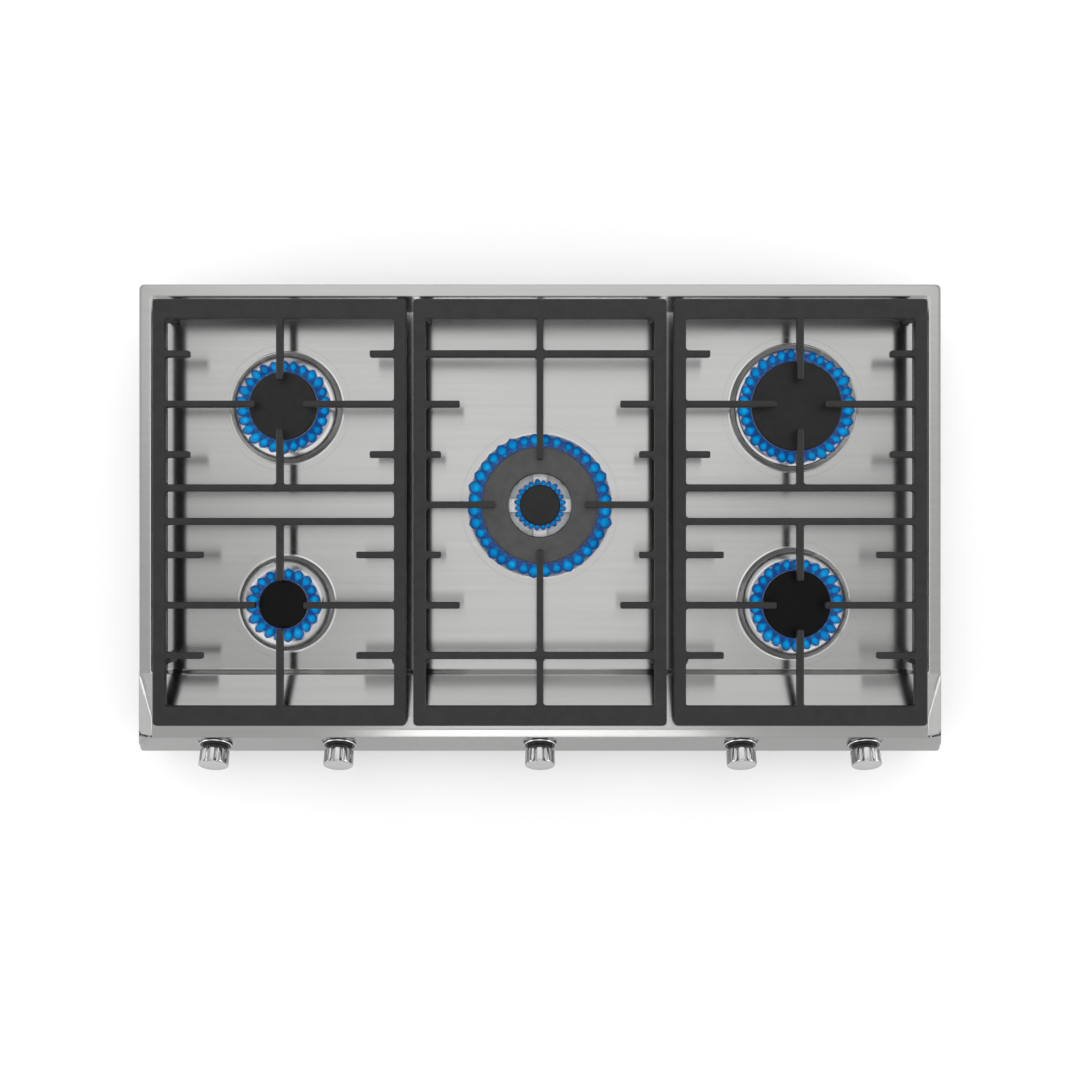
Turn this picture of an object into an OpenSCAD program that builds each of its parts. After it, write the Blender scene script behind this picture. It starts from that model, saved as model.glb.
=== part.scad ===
/* [Top sheet] */
// Overall width across the counter flanges
top_w = 914; // [760:1:1100]
// Centre burner axis to the rear edge of the flange
rear_reach = 252; // [208:1:304]
// Centre burner axis to the foot of the ramp that rises to the front ledge
ramp_start = 192; // [190:1:204]
// Height of the counter flange above the underside of the burner box
rim_z = 100; // [96:1:125]
// Width of the flat counter flange
flange_w = 14; // [12:1:18]
// Height of the turned-down edge of the flange
hem_h = 4; // [3.5:0.5:6]
// Depth of the spill well below the flange
well_depth = 10; // [8:0.5:12]
// Run of the sloping side and rear walls of the well
well_slope = 15; // [10:1:18]
// Run of the steep front wall of the well
well_front_run = 4; // [3:1:8]
// Thickness of the stainless sheet
sheet_t = 1.2; // [1:0.1:1.5]

/* [Control section] */
// Rise of the front ledge above the flange
ledge_rise = 22; // [18:0.1:26.5]
// Run of the ramp from the flange up to the ledge
ramp_run = 47.5; // [42:0.5:50]
// Depth of the flat ledge
ledge_d = 12.5; // [10:0.5:16]
// Depth of the falling band in front of the ledge
nose_d = 9.7; // [8:0.1:12]
// Drop of the falling band
nose_drop = 3.4; // [2:0.1:4]
// Lean of the control panel from the vertical, in degrees
panel_lean = 28; // [20:1:32]
// Drop of the sloping control panel
panel_drop = 38.6; // [36:0.1:42]
// Inset of the ledge's ends from the flange edge
ledge_inset = 21; // [16:1:24]
// How much the lower cheeks stand out beyond the flange on each side
cheek_flare = 4; // [1:1:6]
// Height of the lower edge of the front skirt
skirt_z = 25; // [15:1:35]
// Depth of the return flange under the skirt
return_d = 9.6; // [9:0.2:12]

/* [Burner box] */
// Sheet thickness of the burner box
box_t = 1; // [0.8:0.1:1.5]
// Distance of the box's rear wall from the rear edge of the flange
box_inset = 24; // [20:1:28]
// Width of the in-turned flange that bolts to the well
box_flange_w = 16; // [14:1:20]

/* [Burners] */
// Rear burners: distance of their axes from the rear edge of the flange
rear_burner_inset = 140; // [136:1:146]
// Front burners: distance of their axes from the foot of the ramp
front_burner_inset = 80; // [78:1:86]
// Cap radius of the auxiliary burner
aux_cap_r = 27.5; // [25:0.5:30]
// Cap radius of the semi-rapid burners
semi_cap_r = 38.5; // [32:0.5:46.5]
// Cap radius of the rapid burner
rapid_cap_r = 51; // [42:0.5:61.5]
// Outer radius of the centre burner's ring cap
wok_cap_r = 66; // [60:0.5:79.5]
// Inner radius of the centre burner's ring cap
wok_hole_r = 35.6; // [33:0.2:38]
// Radius of the centre burner's small inner cap
wok_core_r = 23; // [20:0.5:25]
// Height of the cap tops above the well floor
cap_top = 26; // [24:0.5:28]
// Thickness of the caps
cap_t = 8; // [6:0.5:9]
// Play between a cap and its head, and between a head and the sheet
seat_play = 0.25; // [0.2:0.05:0.4]
// How far a cap or a head lifts under the grates
cap_lift = 6; // [4:0.5:8]

/* [Grates] */
// Gap between neighbouring grates
grate_gap = 8; // [4:0.5:12]
// Distance of the outer grates from the sides of the well
grate_margin = 12; // [8:0.5:16]
// Distance of the grates' rear edge from the rear edge of the flange
grate_rear_inset = 23; // [20:1:30]
// How far the grates reach over the front ledge
grate_overhang = 6.5; // [4:0.5:10]
// Thickness of the grate bars
bar_t = 12; // [9:0.5:14]
// Width of the front and rear bars
end_bar_w = 22; // [16:1:24]
// Width of the side bars
side_bar_w = 13.5; // [11:0.5:16]
// Width of the full cross bars
cross_bar_w = 8; // [6:0.5:10]
// Width of the fingers
finger_w = 7.5; // [6:0.5:9]
// Distance between rows of fingers
row_pitch = 56; // [52:1:58]
// Clearance of the grates above the front ledge
ledge_gap = 3; // [2:0.5:6]
// Height of the rubber feet
foot_h = 4.5; // [3:0.5:8]
// How far a grate lifts off
grate_lift = 100; // [50:10:200]

/* [Knobs and valves] */
// Outer radius of the knob shell
knob_r = 17; // [14:0.1:20.5]
// Radius of the black collar
collar_r = 13.5; // [11:0.1:14.5]
// Distance from the panel to the back of the knob shell
shell_back = 7; // [6:0.5:9]
// Distance from the panel to the face of the knob
knob_front = 25; // [22:0.5:30]
// Push-in travel of the knobs
knob_push = 3; // [2:0.5:4]
// Distance of the inner pair of knobs from the flange's side edges
inner_knob_inset = 229; // [205:1:250]
// Distance of the outer pair of knobs from the flange's side edges
outer_knob_inset = 88; // [80:1:100]
// Radius of the valve stems
stem_r = 3; // [2.5:0.1:3.6]
// Running clearance of stems and plugs, on the radius
run_gap = 0.05; // [0.02:0.01:0.1]

/* [Hidden] */
$fn = 64;
EPS = 0.01;
BIG = 1200;

STEEL = [0.72, 0.72, 0.71];
CHROME = [0.82, 0.82, 0.84];
ZINC = [0.62, 0.64, 0.66];
IRON = [0.09, 0.09, 0.09];
ENAMEL = [0.13, 0.13, 0.14];
CAST = [0.66, 0.67, 0.68];
BRASS = [0.78, 0.62, 0.30];
BLACK = [0.06, 0.06, 0.06];
RUBBER = [0.10, 0.10, 0.10];
CERAMIC = [0.93, 0.92, 0.88];

// main levels
half_w = top_w / 2;
well_half_w = half_w - flange_w;
floor_z = rim_z - well_depth;
ledge_z = rim_z + ledge_rise;
nose_z = ledge_z - nose_drop;
ring_z = floor_z - 3;
cap_z = floor_z + cap_top;
bar_z = ledge_z + ledge_gap;

// front-to-back stations of the control section, all negative
ledge_rear_y = -ramp_start - ramp_run;
ledge_front_y = ledge_rear_y - ledge_d;
nose_y = ledge_front_y - nose_d;
panel_foot_z = nose_z - panel_drop;
panel_foot_y = nose_y - panel_drop * tan(panel_lean);
skirt_y = panel_foot_y - 1;
ledge_half_w = half_w - ledge_inset;
cheek_half_w = half_w + cheek_flare;
seam = 0.2;
box_w = 2 * (well_half_w - well_slope + 2);
box_rear = rear_reach - box_inset;
box_front = -skirt_y - return_d - seam;

// control panel centre line, where the knobs sit
panel_z = (nose_z + panel_foot_z) / 2 + 1.2;
panel_y = nose_y - (nose_z - panel_z) * tan(panel_lean);
outer_knob_x = half_w - outer_knob_inset;
inner_knob_x = half_w - inner_knob_inset;
knob_xs = [-outer_knob_x, -inner_knob_x, 0, inner_knob_x, outer_knob_x];
collar_hole_r = collar_r + 0.4;
bezel_r = max(knob_r + 1, collar_hole_r + 4);
bezel_t = 2;

// three grates side by side in the well, a pair of side burners under each outer one
grate_w = (2 * well_half_w - 2 * grate_margin - 2 * grate_gap) / 3;
grate_pitch = grate_w + grate_gap;
grate_rear = rear_reach - grate_rear_inset;
grate_front = -ledge_rear_y + grate_overhang;
rear_y = rear_reach - rear_burner_inset;
front_y = front_burner_inset - ramp_start;

// burners: left front, left rear, centre, right front, right rear
burner_at = [[-grate_pitch, front_y], [-grate_pitch, rear_y], [0, 0],
    [grate_pitch, front_y], [grate_pitch, rear_y]];
cap_rs = [aux_cap_r, semi_cap_r, wok_cap_r, semi_cap_r, rapid_cap_r];
ring_rs = [aux_cap_r + 6, semi_cap_r + 8, wok_cap_r + 7, semi_cap_r + 8, rapid_cap_r + 9];
bowl_rs = [ring_rs[0] + 23.5, ring_rs[1] + 19.5, ring_rs[2] + 11, ring_rs[3] + 19.5,
    ring_rs[4] + 15];
opening_inset = 13.5;
electrode_gap = 3;
electrode_deg = [120, 120, 125, 60, 60];
port_counts = [20, 26, 36, 26, 32];
throat_r = 9;
spigot_play = 0.3;
base_flange_t = 4.5;
base_top_z = ring_z - sheet_t - 0.2;
base_flange_z = base_top_z - base_flange_t;
mixer_z = 50;
boss_z = 39;
tube_z = 45;
tube_r = 4;
tube_bend = 9;
tube_bore_r = tube_r + run_gap;
boss_reach = 20;
core_shift = 14;
chamber_r = 8.6;
screw_r = 2;
screw_head_r = 3.2;
screw_hole_r = screw_r + 0.2;
head_screw_inset = 9.7;

// knob axis frame: local z is outward, local y is up the panel
valve_front = -24;
valve_back = -62;
valve_r = 11;
plug_r = 7;
plug_front = -32;
plug_back = -55;
stem_back = -38;
stem_front = 20;
switch_front = -16;
switch_w = 26;
switch_h = 20;
manifold_drop = -24;
manifold_at = -45;
manifold_r = 10;
manifold_wall = 1.5;
manifold_y = panel_y - manifold_at * cos(panel_lean) + manifold_drop * sin(panel_lean);
manifold_z = panel_z + manifold_at * sin(panel_lean) + manifold_drop * cos(panel_lean);
manifold_left = -outer_knob_x - 24;
supply_x = outer_knob_x + 31;
supply_r = 8;

// regulator and inlet in the rear right corner
elbow_y = box_rear - 34;
regulator_y = elbow_y - 54;
regulator_r = 24;
supply_end_y = regulator_y - regulator_r + 8;
inlet_bore_r = 10.3;
inlet_len = 15;
inlet_body_r = 15;

module_x = 80 - box_w / 2;
module_y = box_rear - 40;
module_size = [80, 44, 28];

// a convex outline moved inward by d; its points run anticlockwise
function unit(v) = v / norm(v);
function left_of(u) = [-u[1], u[0]];
function inset(p, d) = [for (i = [0:len(p) - 1])
    let (n = len(p), m = left_of(unit(p[i] - p[(i + n - 1) % n])),
         k = left_of(unit(p[(i + 1) % n] - p[i])))
    p[i] + d * (m + k) / (1 + m * k)];

// draws a (y, z) outline and runs it along x, or an (x, z) outline along y
module along_x(w) { rotate([90, 0, 90]) linear_extrude(height = w, center = true) children(); }
module along_y(d) { rotate([90, 0, 0]) linear_extrude(height = d, center = true) children(); }

module rounded(w, d, r) {
    translate([-w / 2 + r, -d / 2]) square([w - 2 * r, d]);
    translate([-w / 2, -d / 2 + r]) square([w, d - 2 * r]);
    for (x = [-1, 1], y = [-1, 1]) translate([x * (w / 2 - r), y * (d / 2 - r)]) circle(r);
}

module bar_between(x0, x1, y0, y1) {
    translate([min(x0, x1), min(y0, y1)]) square([abs(x1 - x0), abs(y1 - y0)]);
}

// a route with its corners rounded off, a distance b back from each corner
bend_steps = 4;
function rounded_route(p, b) = concat([p[0]],
    [for (i = [1:1:len(p) - 2], k = [0:bend_steps])
        let (s = k / bend_steps, a = p[i] - b * unit(p[i] - p[i - 1]),
             c = p[i] + b * unit(p[i + 1] - p[i]))
        (1 - s) * (1 - s) * a + 2 * s * (1 - s) * p[i] + s * s * c],
    [p[len(p) - 1]]);

// a bent tube: a ring of points at every station of the route, joined by faces
sweep_side = unit([0.31, 0.17, 0.93]);
function heading(p, i) = unit(unit(p[min(i + 1, len(p) - 1)] - p[min(i, len(p) - 2)])
    + unit(p[max(i, 1)] - p[max(i - 1, 0)]));
module tube_path(route, r, bend, sides) {
    p = rounded_route(route, bend);
    n = len(p);
    points = [for (i = [0:n - 1]) let (t = heading(p, i), u = unit(cross(t, sweep_side)),
        v = cross(t, u)) for (k = [0:sides - 1]) let (a = k * 360 / sides)
        p[i] + r * (cos(a) * u + sin(a) * v)];
    walls = [for (i = [0:n - 2], k = [0:sides - 1]) let (m = (k + 1) % sides)
        [i * sides + k, i * sides + m, (i + 1) * sides + m, (i + 1) * sides + k]];
    ends = [[for (k = [sides - 1:-1:0]) k], [for (k = [0:sides - 1]) (n - 1) * sides + k]];
    polyhedron(points, concat(walls, ends));
}

module at_knob(x) {
    translate([x, panel_y, panel_z]) rotate([90 - panel_lean, 0, 0]) children();
}

// a point of the knob axis frame, in the frame of the whole object
function knob_pt(x, v, w) = [x, panel_y + v * sin(panel_lean) - w * cos(panel_lean),
    panel_z + v * cos(panel_lean) + w * sin(panel_lean)];

// ---------- sheet metal ----------

section_yz = [[skirt_y, skirt_z], [-ramp_start, skirt_z], [-ramp_start, rim_z],
    [ledge_rear_y, ledge_z], [ledge_front_y, ledge_z], [nose_y, nose_z],
    [panel_foot_y, panel_foot_z], [skirt_y, panel_foot_z - 4]];
section_xz = [[-cheek_half_w, skirt_z], [cheek_half_w, skirt_z], [cheek_half_w, panel_foot_z],
    [half_w, rim_z], [ledge_half_w, ledge_z], [-ledge_half_w, ledge_z], [-half_w, rim_z],
    [-cheek_half_w, panel_foot_z]];

// solid wedge of the control section, moved inward by d
module control_wedge(d) {
    intersection() {
        along_x(BIG) polygon(inset(section_yz, d));
        along_y(BIG) polygon(inset(section_xz, d));
    }
}

// sheet of the control section: open to the rear, with a return flange below
module control_sheet() {
    difference() {
        control_wedge(0);
        control_wedge(sheet_t);
        translate([-half_w + sheet_t, -ramp_start - sheet_t - EPS, skirt_z - 1])
            cube([top_w - 2 * sheet_t, 2 * sheet_t, rim_z - skirt_z - sheet_t + 1]);
        translate([-BIG / 2, skirt_y + return_d, skirt_z - 1])
            cube([BIG, ramp_start, sheet_t + 1 + EPS]);
    }
}

well_yz = [[-ramp_start + well_front_run, floor_z], [rear_reach - flange_w - well_slope, floor_z],
    [rear_reach - flange_w, rim_z], [rear_reach - flange_w, rim_z + 1], [-ramp_start, rim_z + 1],
    [-ramp_start, rim_z]];
well_xz = [[-well_half_w + well_slope, floor_z], [well_half_w - well_slope, floor_z],
    [well_half_w, rim_z], [well_half_w, rim_z + 1], [-well_half_w, rim_z + 1],
    [-well_half_w, rim_z]];

module well(d) {
    intersection() {
        along_x(BIG) polygon(inset(well_yz, d));
        along_y(BIG) polygon(inset(well_xz, d));
    }
}

// pressed bowl around a burner: lip at ro, raised ring at ri, opening in the middle
bowl_steps = 6;
bowl_bead = 1;
function bowl_depth(ro, ri) = 0.95 * (ro - ri) / 2;
function bowl_top(ro, ri) = let (d = bowl_depth(ro, ri), rm = (ro + ri) / 2) concat(
    [[ro + bowl_bead, floor_z]],
    [for (i = [0:bowl_steps]) let (s = i / bowl_steps)
        [ro + (rm - ro) * s, floor_z - d * (1 - cos(180 * s)) / 2]],
    [for (i = [1:bowl_steps]) let (s = i / bowl_steps)
        [rm + (ri - rm) * s, floor_z - d + (d - floor_z + ring_z) * (1 - cos(180 * s)) / 2]]);
module bowl(ro, ri, hole_r) {
    top = concat(bowl_top(ro, ri), [[hole_r, ring_z]]);
    n = len(top);
    rotate_extrude($fn = 96)
        polygon(concat(top, [for (i = [n - 1:-1:0]) top[i] - [0, sheet_t]]));
}

module flange_plate() {
    d = rear_reach + ramp_start;
    translate([0, (rear_reach - ramp_start) / 2, rim_z - sheet_t])
        linear_extrude(height = sheet_t) difference() {
            rounded(top_w, d, 6);
            translate([0, -d / 2 - flange_w / 2 + 6]) square([top_w - 2 * flange_w, flange_w], true);
        }
    translate([-half_w, -ramp_start, rim_z - sheet_t]) cube([flange_w, 8, sheet_t]);
    translate([half_w - flange_w, -ramp_start, rim_z - sheet_t]) cube([flange_w, 8, sheet_t]);
}

module flange_hem() {
    d = rear_reach + ramp_start;
    translate([0, (rear_reach - ramp_start) / 2, rim_z - hem_h])
        linear_extrude(height = hem_h - sheet_t + EPS) difference() {
            rounded(top_w, d, 6);
            rounded(top_w - 2 * sheet_t, d - 2 * sheet_t, 5);
            translate([0, -d / 2]) square([BIG, 14], true);
        }
}

module cooktop_pan() {
    color(STEEL) difference() {
        union() {
            flange_plate();
            flange_hem();
            intersection() {
                well(-sheet_t);
                translate([-BIG / 2, -ramp_start - 2, 0]) cube([BIG, BIG, rim_z]);
            }
            intersection() {
                control_sheet();
                translate([-BIG / 2, nose_y, rim_z - sheet_t])
                    cube([BIG, -ramp_start - nose_y, BIG]);
            }
        }
        well(0);
        for (i = [0:4]) translate([burner_at[i][0], burner_at[i][1], floor_z - 2 * sheet_t])
            cylinder(h = 4 * sheet_t, r = bowl_rs[i], $fn = 96);
    }
    color(STEEL) for (i = [0:4]) difference() {
        translate([burner_at[i][0], burner_at[i][1], 0])
            bowl(bowl_rs[i], ring_rs[i], ring_rs[i] - opening_inset);
        electrode_at(i) cylinder(h = rim_z, r = 3.2);
        screws_at(i) cylinder(h = rim_z, r = screw_hole_r);
    }
}

module electrode_at(i) {
    r = cap_rs[i] + electrode_gap;
    translate([burner_at[i][0] + r * cos(electrode_deg[i]),
        burner_at[i][1] + r * sin(electrode_deg[i]), 0]) children();
}

module screws_at(i) {
    for (a = [0, 180]) translate([burner_at[i][0], burner_at[i][1], 0]) rotate(a)
        translate([ring_rs[i] - head_screw_inset, 0, 0]) children();
}

fascia_screw_xs = [for (s = [-1, 1], x = [box_w / 2 - 30, box_w / 2 - 130, 110]) s * x];
fascia_leg_h = 15;

module control_fascia() {
    leg_y = skirt_y + return_d - sheet_t;
    color(STEEL) difference() {
        union() {
            difference() {
                control_sheet();
                translate([-BIG / 2, nose_y - seam, rim_z - sheet_t - seam])
                    cube([BIG, -ramp_start - nose_y + 2 * seam, BIG]);
            }
            translate([-box_w / 2, leg_y, skirt_z])
                cube([box_w, sheet_t, fascia_leg_h]);
        }
        for (x = knob_xs) at_knob(x) cylinder(h = 6, r = collar_hole_r, center = true);
        for (x = fascia_screw_xs) translate([x, leg_y, skirt_z + fascia_leg_h / 2])
            rotate([90, 0, 0]) cylinder(h = 8, r = screw_hole_r, center = true);
    }
}

// ---------- burner box and its fixings ----------

box_top_z = floor_z - sheet_t - 0.2;
stud_xs = [-box_w / 2 + 8, box_w / 2 - 8];
stud_ys = [-170, -60, 60, box_rear - 28];
stud_r = 2;
nut_r = 4;
inlet_hole_r = inlet_body_r + 1;
gland_z = 60;
gland_hole_r = 8;
vent_xs = [-180, -150, 150, 180];
clip_ys = [-120, box_rear - 78];

module box_shell() {
    h = box_top_z;
    d = box_rear + box_front;
    translate([-box_w / 2, -box_front, 0]) difference() {
        cube([box_w, d, h]);
        translate([box_t, box_t, box_t]) cube([box_w - 2 * box_t, d - 2 * box_t, h]);
        // the front is open above the ramp's foot, where the valves lie
        translate([-1, -1, h - box_t]) cube([box_w + 2, box_front - ramp_start + 1, 2 * box_t]);
    }
    // in-turned flanges under the well, at both sides
    for (s = [-1, 1]) translate([s * (box_w - box_flange_w) / 2, (box_rear - ramp_start) / 2 + 4,
        h - box_t / 2]) cube([box_flange_w, box_rear + ramp_start - 8, box_t], center = true);
}

module burner_box() {
    color(ZINC) difference() {
        box_shell();
        for (x = stud_xs, y = stud_ys) translate([x, y, box_top_z - 2 * box_t])
            cylinder(h = 4 * box_t, r = stud_r + 0.3);
        for (x = fascia_screw_xs) translate([x, -box_front, skirt_z + fascia_leg_h / 2])
            rotate([90, 0, 0]) cylinder(h = 8, r = screw_hole_r, center = true);
        translate([supply_x, elbow_y, -1]) cylinder(h = 4, r = inlet_hole_r);
        translate([module_x, box_rear, gland_z]) rotate([90, 0, 0])
            cylinder(h = 8, r = gland_hole_r, center = true);
        for (x = vent_xs, y = [-60:20:60]) translate([x, y, 0])
            cube([22, 6, 4 * box_t], center = true);
        for (s = [-1, 1], y = clip_ys, dy = [-8, 8]) translate([s * box_w / 2, y + dy, 72])
            rotate([0, 90, 0]) cylinder(h = 8, r = screw_hole_r, center = true);
    }
}

module box_studs() {
    color(STEEL) for (x = stud_xs, y = stud_ys) translate([x, y, box_top_z - 9])
        cylinder(h = 9 + 0.2, r = stud_r);
}

module stud_nuts() {
    color(ZINC) for (x = stud_xs, y = stud_ys) translate([x, y, box_top_z - box_t - 3.2])
        difference() {
            cylinder(h = 3.2, r = nut_r, $fn = 6);
            translate([0, 0, -1]) cylinder(h = 6, r = stud_r + run_gap);
        }
}

// pan-head screw along +z, its head above the origin and its shank below
module pan_screw(len) {
    difference() {
        union() {
            cylinder(h = 2.2, r = screw_head_r);
            translate([0, 0, -len]) cylinder(h = len + EPS, r = screw_r);
        }
        translate([0, 0, 1.7]) cube([3.6, 0.8, 1.4], center = true);
        translate([0, 0, 1.7]) cube([0.8, 3.6, 1.4], center = true);
    }
}

module fascia_screws() {
    color(ZINC) for (x = fascia_screw_xs)
        translate([x, -box_front + box_t + 0.05, skirt_z + fascia_leg_h / 2])
            rotate([-90, 0, 0]) pan_screw(5);
}

module hold_down_clips() {
    color(ZINC) for (s = [-1, 1], y = clip_ys) translate([s * box_w / 2, y, 0]) {
        difference() {
            union() {
                translate([s * 1, 0, 70]) cube([2, 28, 24], center = true);
                translate([s * 11, 0, 59]) cube([22, 28, 2], center = true);
            }
            for (dy = [-8, 8]) translate([0, dy, 72]) rotate([0, 90, 0])
                cylinder(h = 8, r = screw_hole_r, center = true);
            translate([s * 14, 0, 59]) cylinder(h = 4, r = 2.55, center = true);
        }
        for (dy = [-8, 8]) translate([s * 2.05, dy, 72]) rotate([0, s * 90, 0]) pan_screw(5);
        translate([s * 14, 0, 0]) {
            translate([0, 0, 44]) cylinder(h = 44, r = 2.5);
            translate([0, 0, 88]) cylinder(h = 2, r = 6);
            translate([0, 0, 40]) cylinder(h = 4, r = 4.6, $fn = 6);
        }
    }
}

seal_w = 8;
seal_t = 3;
module flange_seal() {
    inner = half_w - sheet_t - 0.3 - seal_w;
    reach = rear_reach - sheet_t - 0.3;
    color(RUBBER) translate([0, 0, rim_z - sheet_t - seal_t]) {
        for (s = [-1, 1]) translate([s > 0 ? inner : -inner - seal_w, -ramp_start + 9, 0])
            cube([seal_w, reach + ramp_start - 9 - seal_w, seal_t]);
        translate([-inner - seal_w + 5, reach - seal_w, 0])
            cube([2 * inner + 2 * seal_w - 10, seal_w, seal_t]);
    }
}

// ---------- gas train ----------

module gas_manifold() {
    color(ZINC) difference() {
        union() {
            translate([manifold_left, manifold_y, manifold_z]) rotate([0, 90, 0])
                cylinder(h = supply_x - manifold_left, r = manifold_r);
            translate([manifold_left - 4, manifold_y, manifold_z]) rotate([0, 90, 0])
                cylinder(h = 4 + EPS, r = manifold_r - 2, $fn = 6);
            translate([supply_x, manifold_y, manifold_z]) sphere(manifold_r + 2);
            translate([supply_x, manifold_y, manifold_z]) rotate([-90, 0, 0])
                cylinder(h = 18, r = manifold_r + 1.5);
            // supply pipe, back to the regulator
            translate([supply_x, manifold_y, manifold_z]) rotate([-90, 0, 0])
                cylinder(h = supply_end_y - manifold_y, r = supply_r);
        }
        translate([manifold_left + 3, manifold_y, manifold_z]) rotate([0, 90, 0])
            cylinder(h = supply_x - manifold_left - 3, r = manifold_r - manifold_wall);
        translate([supply_x, manifold_y, manifold_z]) rotate([-90, 0, 0])
            cylinder(h = supply_end_y - manifold_y + 1, r = supply_r - manifold_wall);
        for (x = knob_xs) at_knob(x) translate([0, -valve_r - 6, manifold_at])
            rotate([90, 0, 0]) cylinder(h = 12, r = 5 + run_gap, center = true);
    }
}

module manifold_brackets() {
    ring_r = manifold_r + 3;
    color(ZINC) for (s = [-1, 1]) translate([s * 114, manifold_y, 0]) difference() {
        union() {
            translate([-8, -6, box_t]) cube([16, 34, 2]);
            translate([-8, -1.5, box_t]) cube([16, 3, manifold_z - box_t]);
            translate([-8, 0, manifold_z]) rotate([0, 90, 0]) cylinder(h = 16, r = ring_r);
        }
        translate([-9, 0, manifold_z]) rotate([0, 90, 0])
            cylinder(h = 18, r = manifold_r + run_gap);
        translate([0, 20, 0]) cylinder(h = 8, r = screw_hole_r);
    }
}

module pressure_regulator() {
    z0 = manifold_z - 20;
    color(CAST) translate([supply_x, regulator_y, 0]) difference() {
        union() {
            translate([0, 0, z0]) cylinder(h = 34, r = regulator_r);
            translate([0, 0, z0 + 14]) cylinder(h = 5, r = regulator_r + 3);
            translate([0, 0, z0 + 34]) cylinder(h = 10, r = 9, $fn = 6);
            translate([0, -regulator_r - 4, manifold_z]) rotate([-90, 0, 0])
                cylinder(h = 8, r = 13);
            translate([0, regulator_r - 4, manifold_z]) rotate([-90, 0, 0])
                cylinder(h = 8, r = 13);
        }
        translate([0, -regulator_r - 5, manifold_z]) rotate([-90, 0, 0])
            cylinder(h = 14, r = supply_r + run_gap);
        translate([0, regulator_r - 9, manifold_z]) rotate([-90, 0, 0])
            cylinder(h = 16, r = supply_r + run_gap);
        translate([0, -regulator_r, manifold_z]) rotate([-90, 0, 0])
            cylinder(h = 2 * regulator_r, r = 4);
    }
}

module inlet_elbow() {
    y0 = regulator_y + regulator_r - 6;
    color(BRASS) difference() {
        union() {
            translate([supply_x, elbow_y, 0]) cylinder(h = manifold_z, r = inlet_body_r);
            translate([supply_x, elbow_y, manifold_z]) sphere(inlet_body_r);
            translate([supply_x, y0 + 14, manifold_z]) rotate([-90, 0, 0])
                cylinder(h = elbow_y - y0 - 14, r = inlet_body_r - 3);
            translate([supply_x, y0, manifold_z]) rotate([-90, 0, 0])
                cylinder(h = elbow_y - y0, r = supply_r);
        }
        translate([supply_x, elbow_y, -1]) cylinder(h = inlet_len + 1, r = inlet_bore_r);
        translate([supply_x, elbow_y, 0]) cylinder(h = manifold_z, r = 6);
        translate([supply_x, y0 - 1, manifold_z]) rotate([-90, 0, 0])
            cylinder(h = elbow_y - y0 + 1, r = 6);
    }
}

module gas_valves() {
    color(CAST) for (i = [0:4]) at_knob(knob_xs[i]) difference() {
        union() {
            translate([0, 0, valve_back]) cylinder(h = valve_front - valve_back, r = valve_r);
            translate([-15, -8, valve_front - 3]) cube([30, 16, 3]);
            // inlet nipple into the manifold
            translate([0, -valve_r + 2, manifold_at]) rotate([90, 0, 0]) cylinder(h = 7, r = 5);
            // outlet boss, two of them on the valve of the double burner
            for (x = i == 2 ? [-6, 6] : [0]) translate([x, 0, valve_back - 6])
                cylinder(h = 8, r = 5.2);
        }
        translate([0, 0, plug_back - 0.3])
            cylinder(h = plug_front - plug_back + 0.6, r = plug_r + run_gap);
        translate([0, 0, plug_front]) cylinder(h = 12, r = stem_r + 0.3);
        translate([0, 0, manifold_at]) rotate([90, 0, 0]) cylinder(h = 30, r = 3);
        for (x = i == 2 ? [-6, 6] : [0]) translate([x, 0, valve_back - 7]) {
            cylinder(h = 5, r = tube_bore_r);
            cylinder(h = 12, r = 1.5);
        }
    }
}

// runs from a valve's outlet to a burner's mixing cup, as a list of points
function outlet(i, dx) = knob_pt(knob_xs[i] + dx, 0, valve_back - 3);
function falling(i, dx) = knob_pt(knob_xs[i] + dx, 0, valve_back - 28);
function cup_mouth(i, dx) = [burner_at[i][0] + dx, burner_at[i][1] - boss_reach + 6, tube_z];
module gas_tubes() {
    run_z = falling(0, 0)[2];
    color(CAST) {
        for (s = [-1, 1]) {
            front = s < 0 ? 0 : 3;
            inner = s < 0 ? 1 : 3;
            outer = s < 0 ? 0 : 4;
            tube_path([outlet(inner, 0), falling(inner, 0),
                [s * (inner_knob_x + 24), front_y - 54, tube_z],
                [s * grate_pitch, front_y - 40, tube_z], cup_mouth(front, 0)], tube_r, tube_bend, 12);
            tube_path([outlet(outer, 0), falling(outer, 0), [s * outer_knob_x, 44, run_z],
                [s * grate_pitch, rear_y - 40, tube_z], cup_mouth(front + 1, 0)], tube_r, tube_bend, 12);
        }
        for (s = [-1, 1]) tube_path([outlet(2, s * 6), falling(2, s * 6),
            [s * core_shift, -70, tube_z], cup_mouth(2, s * core_shift)], tube_r, tube_bend, 12);
    }
}

// centre lines of the mixing cups: the centre burner has two
function cup_shifts(i) = i == 2 ? [-core_shift, core_shift] : [0];

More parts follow.
